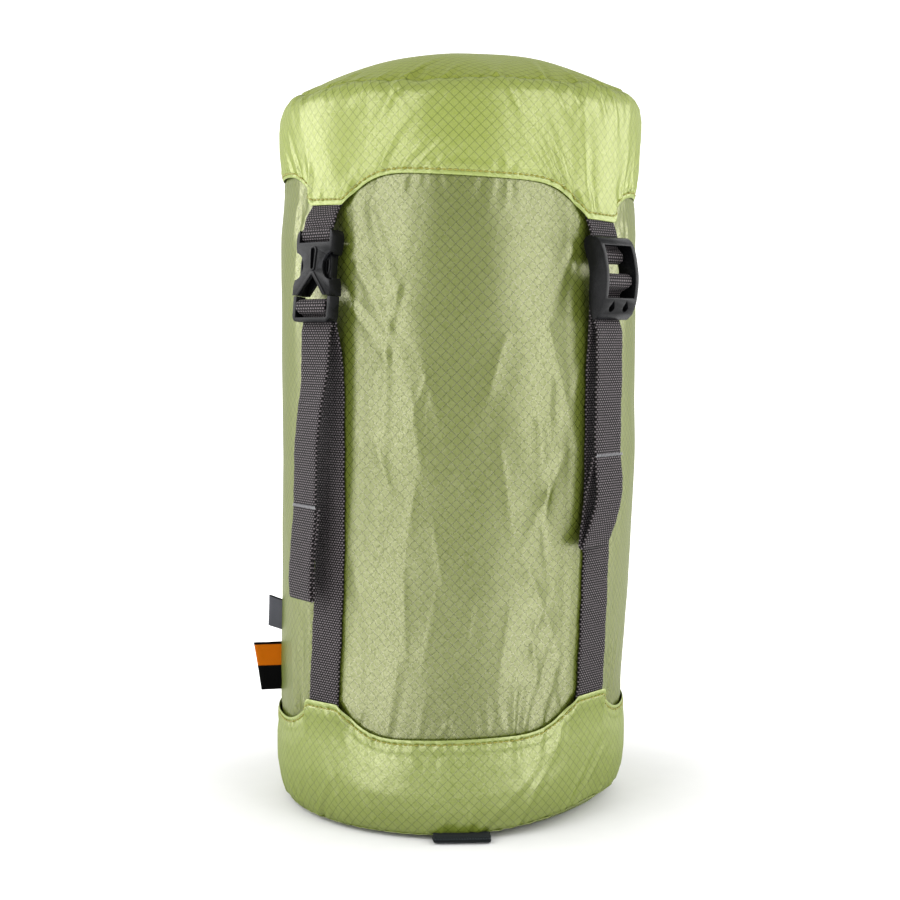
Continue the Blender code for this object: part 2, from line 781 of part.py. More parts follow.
def make_strap(side, turn_degrees, kind, where, cutters, looks):
    turn = math.radians(turn_degrees)
    frame = bpy.data.objects.new("strap_" + side, None)
    where.objects.link(frame)
    frame.rotation_euler.z = turn
    web, plastic = looks
    lid_tip = tongue_tip(LID_HEM_TONGUE, LID_SLOPE, turn) - GAP
    base_tip = tongue_tip(BASE_HEM_TONGUE, BASE_SLOPE, turn) + GAP
    under_hem = CAP_RADIUS - GAP
    made = []

    def strip(name, path):
        obj = flat_outline(name + "_" + side, ribbon(path), WEB_WIDTH, where, web)
        made.append(obj)
        return obj

    if kind == "clip":
        loop = arc((CLIP_OUT - 0.0001, CLIP_TOP_BAR_Z), CLIP_WRAP_RADIUS, 60, -180, 9)
        loop.append(CLIP_LOOP_END)
        first = [(under_hem, lid_tip), (CLIP_OUT - GAP, lid_tip - HEM_TO_CLIP)]
        strip("upper_strap", first + [tilted(point) for point in loop])
        wrap = [CLIP_WRAP_START, *arc((CLIP_OUT, CLIP_BAR_Z), CLIP_WRAP_RADIUS, 170, -60, 9), *CLIP_WRAP_END]
        strip("bar_wrap", [tilted(point) for point in wrap])
        strap_top = tilted(CLIP_STRAP_TOP)
        tail_start = tilted((CLIP_WRAP_END[-1][0], CLIP_BOTTOM - GAP))
        hinged = [
            clip_female(side, where, cutters, plastic),
            clip_male(side, where, cutters, plastic),
            clip_prong(side, -1, where, cutters, plastic),
            clip_prong(side, 1, where, cutters, plastic),
        ]
    else:
        strip("upper_strap", [(under_hem, lid_tip), (LOCK_PIVOT[0], LOCK_PIVOT[1] + GAP)])
        turn_back = arc(LOCK_LOOP_BAR, LOCK_WRAP_RADIUS, 60, -180, 9)
        strip("bar_loop", [*LOCK_LOOP_FRONT, *turn_back, *LOCK_LOOP_BACK])
        turn_over = arc(LOCK_BAR, LOCK_WRAP_RADIUS, 150, -55, 9)
        strip("bar_wrap", [*LOCK_WRAP_BACK, *turn_over, *LOCK_WRAP_FRONT])
        strap_top = (LOCK_WRAP_BACK[0][0] - 0.0001, LOCK_BOTTOM - GAP)
        tail_start = (LOCK_WRAP_FRONT[-1][0], LOCK_BOTTOM - GAP)
        made.append(ladder_lock(side, where, cutters, plastic))
        hinged = []

    strip("lower_strap", [(under_hem, base_tip), (STRAP_OUT, base_tip + WEB_WIDTH), strap_top])
    strip("tail", tail_path(tail_start, *TAIL_ENDS[kind], side == "front_right"))
    aids = [obj for obj in cutters.objects if side in obj.name]
    if hinged:
        tilt = bpy.data.objects.new("clip_tilt_" + side, None)
        where.objects.link(tilt)
        tilt.parent = frame
        tilt.location = (0.0, -CLIP_PIVOT[0], CLIP_PIVOT[1])
        tilt.rotation_euler.x = -CLIP_TILT
        for obj in hinged + aids:
            obj.parent = tilt
            obj.matrix_parent_inverse = Matrix.Translation(-tilt.location)
    else:
        made += aids
    for obj in made:
        obj.parent = frame


def make_tags(where, looks):
    """Two folded tags in the side seam at -X and a folded webbing tab under the base's front."""
    kinds = (("size_tag", SIZE_TAG), ("side_tag", SIDE_TAG), ("base_tab", BASE_TAB))
    for (name, (centre, size)), look in zip(kinds, looks):
        shape = bmesh.new()
        matrix = Matrix.Translation(centre) @ Matrix.Diagonal((*size, 1.0))
        bmesh.ops.create_cube(shape, size=1.0, matrix=matrix)
        add_mesh(name, shape, where, look)


def shade(where):
    for obj in where.objects:
        if obj.type == "MESH":
            obj.data.shade_smooth()
            obj.data.set_sharp_from_angle(angle=math.radians(35))


def main():
    clear_scene()
    sack = new_collection("stuff_sack")
    cutters = new_collection("cutters")
    cap_cloth = material("cap_cloth", (0.45, 0.55, 0.17), 0.62)
    body_cloth = material("body_cloth", (0.42, 0.47, 0.22), 0.62)
    webbing = material("webbing", (0.075, 0.068, 0.072), 0.8)
    plastic = material("plastic", (0.045, 0.046, 0.050), 0.38)
    grey_tag = material("grey_tag", (0.11, 0.11, 0.12), 0.8)
    orange_tag = material("orange_tag", (0.80, 0.26, 0.02), 0.7)
    dark_tab = material("dark_tab", (0.015, 0.018, 0.020), 0.8)

    make_tube(sack, body_cloth, body_cloth)
    make_base(sack, cap_cloth)
    make_lid(sack, cap_cloth)
    make_throat(sack, body_cloth, plastic)
    for side, (turn, kind) in STRAPS.items():
        make_strap(side, turn, kind, sack, cutters, (webbing, plastic))
    make_tags(sack, (grey_tag, orange_tag, dark_tab))
    shade(sack)


main()
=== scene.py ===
"""Looks of the compression stuff sack: gathered ripstop cloth, webbing, stitching, buckles and a studio.

Units are metres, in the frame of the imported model: +Z up, front towards -Y, the base on Z = 0.
Round the sack an angle of 0 is +X and -90 degrees is the front.
"""

import math
import random

import bmesh
import bpy
import numpy as np
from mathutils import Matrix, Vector


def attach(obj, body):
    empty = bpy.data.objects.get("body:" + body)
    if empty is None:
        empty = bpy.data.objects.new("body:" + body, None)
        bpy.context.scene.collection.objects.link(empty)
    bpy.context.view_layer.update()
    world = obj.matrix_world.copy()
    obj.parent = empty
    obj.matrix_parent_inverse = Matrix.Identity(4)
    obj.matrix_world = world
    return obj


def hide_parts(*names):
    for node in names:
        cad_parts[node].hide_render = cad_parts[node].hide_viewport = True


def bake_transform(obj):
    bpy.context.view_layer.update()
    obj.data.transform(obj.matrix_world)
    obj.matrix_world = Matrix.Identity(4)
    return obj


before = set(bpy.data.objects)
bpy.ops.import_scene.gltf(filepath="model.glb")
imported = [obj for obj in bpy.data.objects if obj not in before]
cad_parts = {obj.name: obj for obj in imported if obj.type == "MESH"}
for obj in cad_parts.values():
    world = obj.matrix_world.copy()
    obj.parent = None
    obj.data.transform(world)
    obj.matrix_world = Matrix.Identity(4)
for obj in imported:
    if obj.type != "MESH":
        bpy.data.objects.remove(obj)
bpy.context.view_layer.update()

MM = 0.001
TAU = math.tau
FRONT = -math.pi / 2

# Cloth envelope
TUBE_RADIUS = 0.0893
LID_RADIUS = 0.0916
BASE_RADIUS = 0.0914
# (tongue tip, scallop) heights of each cap's hem, and its rise towards +X
LID_HEM = (0.2975, 0.3125)
BASE_HEM = (0.0632, 0.0485)
LID_SLOPE = -0.054
BASE_SLOPE = 0.027
TONGUE_TIP = math.radians(6.5)
TONGUE_FOOT = math.radians(30.0)
# The crown disc, sewn to the lid's wall
LID_SEAM_Z = 0.3590
SEAM_RADIUS = 0.0850
SEAM_FALL = 0.0006
CROWN_SLOPE = 0.012
DOME = 0.0215
# The base disc, flat where the sack stands
BASE_SEAM_Z = 0.0020
BASE_RIM = 0.0860
BASE_SWELL = 0.0034
FLAT_RADIUS = 0.0700
POINT_RADIUS = 0.0004

# (height, shift in X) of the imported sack's middle line, which isn't quite upright
LEAN = (
    (0.000, -0.0040),
    (0.030, -0.0042),
    (0.060, -0.0038),
    (0.085, -0.0024),
    (0.115, -0.0010),
    (0.160, 0.0000),
    (0.230, 0.0000),
    (0.280, -0.0006),
    (0.310, 0.0002),
    (0.340, 0.0012),
    (0.380, 0.0020),
)

COLUMNS = 512
SIM_COLUMNS = 160
SIM_SCALE = 10.0
FOLD_STRENGTH = 1.35
# Radius at which the cloth's pattern is unrolled
PATTERN_RADIUS = 0.0911
RIPSTOP_PITCH = TAU * PATTERN_RADIUS / 116

WEB_WIDTH = 0.0200
WEB = 0.0015
STRAP_ANGLES = (45, 135, 225, 315)
# Radius at which widths under and beside the straps are measured
STRAP_RADIUS = 0.091
STRAP_FACE = 0.0929

CAP_CLOTH = 0.35 * MM
STITCH_ROW = 2.3 * MM


# ---------------------------------------------------------------- materials


def scaled(colour, factor):
    return tuple(c * factor for c in colour)


class Nodes:
    """A material's node tree, with short helpers for building it."""

    def __init__(self, name):
        self.material = bpy.data.materials.new(name)
        self.material.use_nodes = True
        self.tree = self.material.node_tree
        self.shader = self.tree.nodes["Principled BSDF"]
        self.point = self.add("ShaderNodeTexCoord").outputs["Object"]

    def add(self, kind, **settings):
        node = self.tree.nodes.new(kind)
        for key, value in settings.items():
            setattr(node, key, value)
        return node

    def link(self, source, target):
        """Feeds a socket from a number, a colour or another socket."""
        if isinstance(source, tuple):
            target.default_value = (*source, 1.0)
        elif isinstance(source, (int, float)):
            target.default_value = source
        else:
            self.tree.links.new(source, target)

    def feed(self, **values):
        """Feeds the shader's inputs, named with _ for each space."""
        for name, value in values.items():
            self.link(value, self.shader.inputs[name.replace("_", " ")])

    def math(self, operation, *values):
        node = self.add("ShaderNodeMath", operation=operation)
        for socket, value in zip(node.inputs, values):
            self.link(value, socket)
        return node.outputs[0]

    def times(self, first, second):
        return self.math("MULTIPLY", first, second)

    def wave(self, value, pitch):
        """0 on every multiple of the pitch and 1 half way between."""
        return self.math("ABSOLUTE", self.math("SINE", self.times(value, math.pi / pitch)))

    def mix(self, share, first, second):
        node = self.add("ShaderNodeMix", data_type="RGBA")
        for value, socket in ((share, 0), (first, 6), (second, 7)):
            self.link(value, node.inputs[socket])
        return node.outputs[2]

    def noise(self, scale, detail=2.0):
        node = self.add("ShaderNodeTexNoise")
        node.inputs["Scale"].default_value = scale
        node.inputs["Detail"].default_value = detail
        self.link(self.point, node.inputs["Vector"])
        return node.outputs["Fac"]

    def ramp(self, value, low, high):
        """0 below low and 1 above high, smooth between."""
        node = self.add("ShaderNodeMapRange", interpolation_type="SMOOTHSTEP")
        self.link(value, node.inputs["Value"])
        node.inputs["From Min"].default_value = low
        node.inputs["From Max"].default_value = high
        return node.outputs["Result"]

    def bump(self, height, strength, distance, below=None):
        node = self.add("ShaderNodeBump")
        node.inputs["Strength"].default_value = strength
        node.inputs["Distance"].default_value = distance
        self.link(height, node.inputs["Height"])
        if below is not None:
            self.link(below, node.inputs["Normal"])
        return node.outputs["Normal"]

    def uv(self):
        """The cloth's own two directions, in metres."""
        split = self.add("ShaderNodeSeparateXYZ")
        self.link(self.add("ShaderNodeUVMap", uv_map="cloth").outputs["UV"], split.inputs[0])
        return split.outputs[0], split.outputs[1]

    def cover(self, share, other):
        """Mixes a share of another shader over the main one."""
        both = self.add("ShaderNodeMixShader")
        self.link(share, both.inputs["Fac"])
        self.link(self.shader.outputs[0], both.inputs[1])
        self.link(other.outputs[0], both.inputs[2])
        self.link(both.outputs[0], self.tree.nodes["Material Output"].inputs["Surface"])


def ripstop(name, light, line, hem_tone_and_highlight, sheen=0.079):
    """Fine coated nylon with a heavier thread every few millimetres on the bias."""
    made = Nodes(name)
    u, v = made.uv()
    lines = []
    for sign in (1.0, -1.0):
        wave = made.wave(made.math("MULTIPLY_ADD", v, sign, u), RIPSTOP_PITCH)
        lines.append(made.math("SUBTRACT", 1.0, made.ramp(wave, 0.05, 0.24)))
    crossing = made.times(*lines)
    grain = made.noise(5200.0)
    patch = made.ramp(made.noise(900.0, 3.0), 0.35, 0.7)
    cloud = made.ramp(made.noise(22.0), 0.35, 0.7)
    base = made.mix(made.ramp(grain, 0.30, 0.72), scaled(light, 0.80), scaled(light, 1.16))
    base = made.mix(made.times(patch, 0.22), base, scaled(light, 0.82))
    base = made.mix(made.times(cloud, 0.16), base, scaled(light, 1.14))
    grid = made.times(made.math("MAXIMUM", *lines), 0.85)
    base = made.mix(made.math("MULTIPLY_ADD", crossing, 0.15, grid), base, line)
    # The edge of the turned hem is lighter: partly the double layer's own tone, partly a painted highlight on
    # the rolled edge.
    hem = made.add("ShaderNodeAttribute", attribute_name="hem").outputs["Fac"]
    base = made.mix(made.times(hem, 0.65), base, hem_tone_and_highlight)
    normal = made.bump(made.noise(260.0, 3.0), 0.10, 0.0008)
    normal = made.bump(grain, 0.30, 0.00012, normal)
    made.feed(Base_Color=base, Normal=normal, Specular_IOR_Level=0.05, Roughness=0.50)
    gloss = made.add("ShaderNodeBsdfAnisotropic", distribution="GGX")
    made.link((1.0, 1.0, 0.70), gloss.inputs["Color"])
    made.link(made.math("MULTIPLY_ADD", grain, 0.12, 0.17), gloss.inputs["Roughness"])
    made.link(normal, gloss.inputs["Normal"])
    glint = made.ramp(made.noise(1500.0), 0.36, 0.66)
    made.cover(made.times(made.math("MULTIPLY_ADD", glint, 0.80, 0.60), sheen), gloss)
    return made.material


def webbing(name, dark, light, pitch=1.18 * MM):
    """Flat woven strap: short floats of thread in staggered rows, and a ribbed edge."""
    made = Nodes(name)
    u, v = made.uv()
    row = made.times(v, 1 / pitch)
    odd = made.times(made.math("FLOORED_MODULO", made.math("FLOOR", row), 2.0), 0.5)
    column = made.math("ADD", made.times(u, 1 / (pitch * 1.42)), odd)
    thread = made.times(made.ramp(made.wave(row, 1), 0.46, 0.92), made.ramp(made.wave(column, 1), 0.36, 0.86))
    fuzz = made.noise(3600.0, 3.0)
    lit = made.mix(made.ramp(fuzz, 0.35, 0.70), scaled(light, 0.85), scaled(light, 1.45))
    normal = made.bump(fuzz, 0.25, 0.00012, made.bump(thread, 0.9, 0.00034))
    made.feed(Base_Color=made.mix(thread, dark, lit), Normal=normal)
    made.feed(Roughness=0.72, Specular_IOR_Level=0.12, Sheen_Weight=0.02)
    return made.material


def plastic(name):
    """Satin moulded acetal with a faint spark-eroded grain and rubbed edges."""
    made = Nodes(name)
    grain = made.noise(2600.0, 3.0)
    wear = made.noise(160.0, 4.0)
    edges = made.add("ShaderNodeNewGeometry").outputs["Pointiness"]
    rubbed = made.times(made.ramp(edges, 0.52, 0.60), made.ramp(wear, 0.4, 0.65))
    colour = made.mix(made.times(wear, 0.5), (0.0022, 0.0023, 0.0026), (0.0048, 0.0049, 0.0055))
    colour = made.mix(made.times(rubbed, 0.35), colour, (0.03, 0.03, 0.034))
    normal = made.bump(grain, 0.35, 0.00016, made.bump(made.noise(90.0, 1.0), 0.35, 0.0010))
    made.feed(Base_Color=colour, Normal=normal, Specular_IOR_Level=0.22)
    made.feed(Roughness=made.math("MULTIPLY_ADD", wear, 0.06, 0.22))
    dull = made.add("ShaderNodeBsdfDiffuse")
    made.link(colour, dull.inputs["Color"])
    made.cover(0.50, dull)
    return made.material


def thread_material(name, colour):
    made = Nodes(name)
    twist = made.noise(4200.0)
    lit = made.mix(made.ramp(twist, 0.3, 0.7), scaled(colour, 0.6), scaled(colour, 1.2))
    made.feed(Base_Color=lit, Normal=made.bump(twist, 0.4, 0.0001), Roughness=0.55)
    return made.material


def tape(name, first, second, split, edge):
    """Woven tape; the second colour lies below the split, and above the edge."""
    made = Nodes(name)
    u, v = made.uv()
    weave = made.times(made.wave(v, 0.55 * MM), made.wave(u, 0.45 * MM))
    fuzz = made.times(made.noise(3000.0), 0.3)
    colour = made.mix(made.ramp(u, split - 0.15 * MM, split + 0.15 * MM), second, first)
    colour = made.mix(made.ramp(u, edge - 0.10 * MM, edge + 0.10 * MM), colour, second)
    shaded = made.mix(made.math("MULTIPLY_ADD", weave, 0.5, fuzz), (0.0, 0.0, 0.0), colour)
    made.feed(Base_Color=made.mix(0.55, shaded, colour), Normal=made.bump(weave, 0.6, 0.00015))
    made.feed(Roughness=0.62, Specular_IOR_Level=0.03)
    return made.material


# ---------------------------------------------------------------- cloth shapes


def front_angle(degrees):
    """An angle round the sack measured from the front, positive towards +X."""
    return FRONT + math.radians(degrees)


def wrapped(angle):
    return np.mod(angle + math.pi, TAU) - math.pi


def bell(x, width):
    return np.exp(-((x / width) ** 2))


def eased(share):
    return share * share * (3 - 2 * share)


def step_down(value, low, high):
    """1 below low and 0 above high, smooth between."""
    return 1 - eased(np.clip((value - low) / (high - low), 0, 1))


def ring(radius, angle, height):
    angle, radius, height = np.broadcast_arrays(angle, radius, height)
    return np.stack([radius * np.cos(angle), radius * np.sin(angle), height], axis=-1)


def profile_at(place, points):
    """The value at this place on a polyline of (place, value)."""
    places, values = zip(*points)
    return np.interp(place, places, values)


def rounded_profile(points, share, reach=0.03):
    """A profile averaged over a short stretch, which rounds its corners."""
    total = 0.0
    weights = 0.0
    for step in np.linspace(-1, 1, 9):
        weight = 1 - abs(step) * 0.8
        total = total + weight * profile_at(np.clip(share + step * reach, 0, 1), points)
        weights += weight
    return total / weights


def tongue_share(angle):
    """1 on a hem's tongue tip and 0 on the scallops, for an array of angles."""
    off = np.mod(angle - math.pi / 4, math.pi / 2)
    off = np.minimum(off, math.pi / 2 - off)
    climb = np.clip((off - TONGUE_TIP) / (TONGUE_FOOT - TONGUE_TIP), 0, 1)
    return (1 - climb) ** 3


def hem_height(angle, hem, slope, radius):
    tip, scallop = hem
    level = scallop + (tip - scallop) * tongue_share(angle)
    return level + slope * radius * np.cos(angle)


def spread(distance, steps_near, near, far):
    """Shares from 0 to 1 of a distance, with close rows near its start."""
    rows = [0.0]
    while rows[-1] < distance:
        grow = min(len(rows) / steps_near, 1.0)
        rows.append(rows[-1] + near + (far - near) * grow)
    rows = np.array(rows)
    return rows / rows[-1]


# Rows of a cap's wall, from its hem, close together there
WALL_ROWS = spread(0.056, 14, 0.30 * MM, 0.95 * MM)
WALL_TALL = 0.0505


def angles(columns):
    return np.arange(columns) * TAU / columns


def lean_at(height):
    """The shift in X at this height, smoothed along the middle line."""
    reach = 0.012
    steps = (-1.0, -0.5, 0.0, 0.5, 1.0)
    return sum(profile_at(height + step * reach, LEAN) for step in steps) / len(steps)


def leaned(points):
    moved = points.copy()
    moved[..., 0] += lean_at(points[..., 2])
    return moved


def resample(grid, columns, rows):
    """A grid of rows x columns x 3, periodic along its columns, on other columns and rows (shares 0 to 1)."""
    count = grid.shape[1]
    spectrum = np.fft.rfft(grid, axis=1)
    wider = np.zeros((grid.shape[0], columns // 2 + 1, grid.shape[2]), complex)
    keep = min(spectrum.shape[1], wider.shape[1])
    wider[:, :keep] = spectrum[:, :keep]
    fine = np.fft.irfft(wider, n=columns, axis=1) * columns / count
    place = np.clip(rows, 0, 1) * (grid.shape[0] - 1)
    low = np.clip(np.floor(place).astype(int), 0, grid.shape[0] - 2)
    part = (place - low)[:, None, None]
    before = fine[np.maximum(low - 1, 0)]
    first, second = fine[low], fine[low + 1]
    after = fine[np.minimum(low + 2, grid.shape[0] - 1)]
    cubic = 3 * (first - second) + after - before
    slope = second - before + part * (2 * before - 5 * first + 4 * second - after + part * cubic)
    return first + 0.5 * part * slope


def corner_vertices(mesh):
    corners = np.empty(len(mesh.loops), int)
    mesh.loops.foreach_get("vertex_index", corners)
    return corners


def lay_flat(mesh, uvs):
    """Gives the mesh its cloth pattern, one (u, v) for each corner."""
    mesh.uv_layers.new(name="cloth").data.foreach_set("uv", uvs.astype(np.float32).ravel())


def grid_mesh(name, points, uvs=None):
    """A mesh of a rows x columns grid of points, closed round its columns."""
    rows, columns = points.shape[:2]
    mesh = bpy.data.meshes.new(name)
    index = np.arange(rows * columns).reshape(rows, columns)
    right = np.roll(index, -1, axis=1)
    faces = np.stack([index[:-1], right[:-1], right[1:], index[1:]], axis=-1).reshape(-1, 4)
    mesh.from_pydata(points.reshape(-1, 3).tolist(), [], faces.tolist())
    if uvs is not None:
        corners = corner_vertices(mesh)
        flat = uvs.reshape(-1, 2)[corners]
        width = TAU * PATTERN_RADIUS
        if uvs[0, -1, 0] > width / 2:
            closing = np.repeat(np.arange(len(faces)) % columns, 4) == columns - 1
            flat[(corners % columns == 0) & closing, 0] += width
        lay_flat(mesh, flat)
    mesh.shade_smooth()
    return mesh


def add_object(name, mesh, material=None):
    obj = bpy.data.objects.new(name, mesh)
    bpy.context.scene.collection.objects.link(obj)
    if material:
        mesh.materials.clear()
        mesh.materials.append(material)
    return obj


def tube_mesh(name, tubes, uvs=None):
    """Closed tubes, each a list of rings of points; the uvs are one for each point."""
    vertices, faces = [], []
    for rings in tubes:
        count, start = len(rings[0]), len(vertices)
        for points in rings:
            vertices += points
        end = len(vertices) - count
        for low in range(start, end, count):
            for column in range(count):
                other = (column + 1) % count
                faces.append((low + column, low + other, low + count + other, low + count + column))
        faces.append(tuple(range(start, start + count))[::-1])
        faces.append(tuple(range(end, end + count)))
    mesh = bpy.data.meshes.new(name)
    mesh.from_pydata(vertices, [], faces)
    if uvs:
        lay_flat(mesh, np.array(uvs)[corner_vertices(mesh)])
    shape = bmesh.new()
    shape.from_mesh(mesh)
    bmesh.ops.recalc_face_normals(shape, faces=shape.faces)
    shape.to_mesh(mesh)
    shape.free()
    mesh.shade_smooth()
    return mesh


def shell(name, points, uvs, hem, material, thickness):
    """A piece of cloth; hem is 1 on its turned edge and 0 elsewhere."""
    mesh = grid_mesh(name, points, uvs)
    attribute = mesh.attributes.new("hem", "FLOAT", "POINT")
    attribute.data.foreach_set("value", np.asarray(hem, np.float32).ravel())
    obj = add_object(name, mesh, material)
    solid = obj.modifiers.new("Solidify", "SOLIDIFY")
    solid.thickness = thickness
    solid.offset = -1.0
    return obj


def normals_of(points):
    """Outward unit normals of a grid that is closed round its columns."""
    across = np.roll(points, -1, axis=1) - np.roll(points, 1, axis=1)
    up = np.gradient(points, axis=0)
    normal = np.cross(across, up)
    length = np.linalg.norm(normal, axis=2, keepdims=True)
    return normal / np.maximum(length, 1e-12)


def relax(points, held, slack_round, slack_up, pressure, frames=22):
    """Cloth with slack, held along its seams and pushed out by the load: the grid of points it settles to."""
    big = points * SIM_SCALE
    obj = add_object("settling_cloth", grid_mesh("settling_cloth", big))
    obj.shape_key_add(name="Basis")
    rest = obj.shape_key_add(name="rest")
    middle = big.reshape(-1, 3).mean(0)
    wider = big.copy()
    wider[..., :2] *= 1 + slack_round[..., None]
    wider[..., 2] = middle[2] + (wider[..., 2] - middle[2]) * (1 + slack_up)
    rest.data.foreach_set("co", wider.astype(np.float32).ravel())
    group = obj.vertex_groups.new(name="held")
    for index, weight in enumerate(held.ravel()):
        if weight > 0.01:
            group.add([index], float(weight), "REPLACE")
    cloth = obj.modifiers.new("Cloth", "CLOTH")
    settings = cloth.settings
    settings.quality = 6
    settings.mass = 0.25
    settings.tension_stiffness = 25
    settings.compression_stiffness = 25
    settings.shear_stiffness = 12
    settings.bending_stiffness = 0.35
    settings.air_damping = 3
    settings.vertex_group_mass = "held"
    settings.rest_shape_key = rest
    settings.use_pressure = True
    settings.uniform_pressure_force = pressure
    settings.effector_weights.gravity = 0
    cloth.collision_settings.use_collision = False
    cloth.point_cache.frame_end = frames
    scene = bpy.context.scene
    for step in range(1, frames + 1):
        scene.frame_set(step)
    settled = obj.evaluated_get(bpy.context.evaluated_depsgraph_get()).to_mesh()
    coordinates = np.empty(len(settled.vertices) * 3, np.float32)
    settled.vertices.foreach_get("co", coordinates)
    bpy.data.objects.remove(obj, do_unlink=True)
    scene.frame_set(1)
    return coordinates.reshape(points.shape).astype(float) / SIM_SCALE


def looseness(least, *peaks):
    """Slack along a piece: this much everywhere, and more round each peak of (share, amount, width)."""

    def slack(angle, share):
        total = least + 0 * angle
        for place, amount, width in peaks:
            total = total + amount * bell(share - place, width)
        return total

    return slack


def skirt_held(angle, share):
    """How firmly a cap's wall is held, from its hem (0) to its seam (1)."""
    tongue = tongue_share(angle) * (share < 0.12)
    return np.maximum((share > 0.985) * 1.0, np.maximum((share < 0.03) * 0.9, tongue))


def settle(surface, rows, shares, held, slack_round, slack_up, pressure, inward, outward):
    """How far the relaxed cloth stands from its design surface, along the normal, on the fine grid."""
    coarse_angles = angles(SIM_COLUMNS)[None, :]
    coarse_rows = np.linspace(0, 1, rows)[:, None]
    design = surface(coarse_angles, coarse_rows)
    grip, slack = held(coarse_angles, coarse_rows), slack_round(coarse_angles, coarse_rows)
    relaxed = relax(design, grip, slack, slack_up, pressure)
    moved = ((relaxed - design) * normals_of(design)).sum(2, keepdims=True)
    most = np.where(moved > 0, outward, inward)
    return resample(most * np.tanh(moved / most), COLUMNS, shares)[..., 0]


class Folds:
    """Creases that start on a seam: each is a ridge with a trough beside it, slanting away from its root."""

    def __init__(self, angle, distance, radius):
        self.angle = angle
        self.distance = distance
        self.radius = radius
        self.height = np.zeros(np.broadcast(angle, distance).shape)

    def add(self, where, length, width, depth, slant=0.0, curl=0.0, start=0.0, sharp=False):
        """where is the angle of the root; lengths are in metres, slant is sideways travel per metre."""
        run = self.distance - start
        side = self.radius * wrapped(self.angle - where) - slant * run - curl * run * np.abs(run) / length
        near = (np.abs(side) < 4 * width) & (run > -0.4 * length) & (run < 1.1 * length)
        share = np.clip(run / length, 0, 1)
        spread_out = width * (0.65 + 0.9 * share)
        if sharp:
            ridge = np.exp(-np.abs(side) / spread_out)
            fade = np.sin(math.pi * share**0.8)
        else:
            ridge = bell(side, spread_out) - 0.55 * bell(side - 1.5 * spread_out, spread_out)
            fade = (1 - share) ** 1.3 * np.clip((run + 0.0015) / 0.003, 0, 1)
        self.height += np.where(near, FOLD_STRENGTH * depth * ridge * fade, 0.0)

    def lay(self, rows, turn=0, **more):
        """Adds folds of (degrees from the front, length, width, depth, slant[, curl[, start]]), in mm."""
        for degrees, length, width, depth, slant, *rest in rows:
            curl = rest[0] if rest else 0.0
            start = rest[1] * MM if len(rest) > 1 else 0.0
            size = (length * MM, width * MM, depth * MM)
            self.add(front_angle(degrees + turn), *size, slant, curl, start, **more)

    def scatter(self, count, length, width, depth, slant, seed):
        """Random folds round the seam; ranges are (least, most) in millimetres."""
        dice = random.Random(seed)
        for index in range(count):
            where = TAU * (index + dice.uniform(-0.4, 0.4)) / count
            size = dice.random() ** 1.6
            reach = length[0] + (length[1] - length[0]) * size
            thick = width[0] + (width[1] - width[0]) * (0.4 * dice.random() + 0.6 * size)
            tall = depth[0] + (depth[1] - depth[0]) * (0.5 * dice.random() + 0.5 * size)
            tall *= dice.choice((1, 1, -0.7))
            tilt = dice.uniform(-slant, slant)
            curl = dice.uniform(-0.3, 0.3)
            self.add(wrapped(where), reach * MM, thick * MM, tall * MM, tilt, curl)


NOISE_RADIUS = 0.090
NOISE_ROWS = 64


def value_noise(angle, height, across, tall, seed, octaves=2):
    """Smooth noise round the sack, with features this wide and this tall in metres, from -1 to 1."""
    dice = np.random.default_rng(seed)
    total = 0.0
    strength = 1.0
    rows = NOISE_ROWS
    for octave in range(octaves):
        columns = max(4, int(round(TAU * NOISE_RADIUS / across * 2**octave)))
        table = dice.uniform(-1, 1, (rows, columns))
        x = np.mod(angle / TAU, 1.0) * columns
        y = np.mod(height / tall * 2**octave, rows - 1)
        x0, y0 = np.floor(x).astype(int), np.floor(y).astype(int)
        fx, fy = eased(x - x0), eased(y - y0)
        x0, x1 = x0 % columns, (x0 + 1) % columns
        y0, y1 = y0 % rows, (y0 + 1) % rows
        value = (table[y0, x0] * (1 - fx) + table[y0, x1] * fx) * (1 - fy)
        value = value + (table[y1, x0] * (1 - fx) + table[y1, x1] * fx) * fy
        total = total + value * strength
        strength *= 0.5
    return total


def over_straps(angle, radius, face, spill=17 * MM, pressed=0.0):
    """How far cloth of this radius must rise to lie flat over the straps, whose faces stand this far out."""
    total = 0.0
    for middle in STRAP_ANGLES:
        off = wrapped(angle - math.radians(middle))
        flat = face / np.cos(np.clip(off, -0.3, 0.3)) - radius
        total = total + np.maximum(flat, -pressed) * step_down(np.abs(STRAP_RADIUS * off), 10.5 * MM, spill)
    return total


def hem_detail(distance):
    """Height of the turned hem above the cloth: a double layer, a groove for its stitches, a round edge."""
    double = 0.30 * MM * (1 - np.clip((distance - 6 * MM) / (2 * MM), 0, 1))
    groove = -0.38 * MM * bell(distance - STITCH_ROW, 0.55 * MM)
    lip = 0.18 * MM * bell(distance - 1.0 * MM, 0.8 * MM)
    return double + groove + lip


def hem_share(distance):
    """1 on the edge of the turned hem and 0 on the rest of the cloth."""
    return 1 - np.clip((distance - 1.9 * MM) / (0.6 * MM), 0, 1)


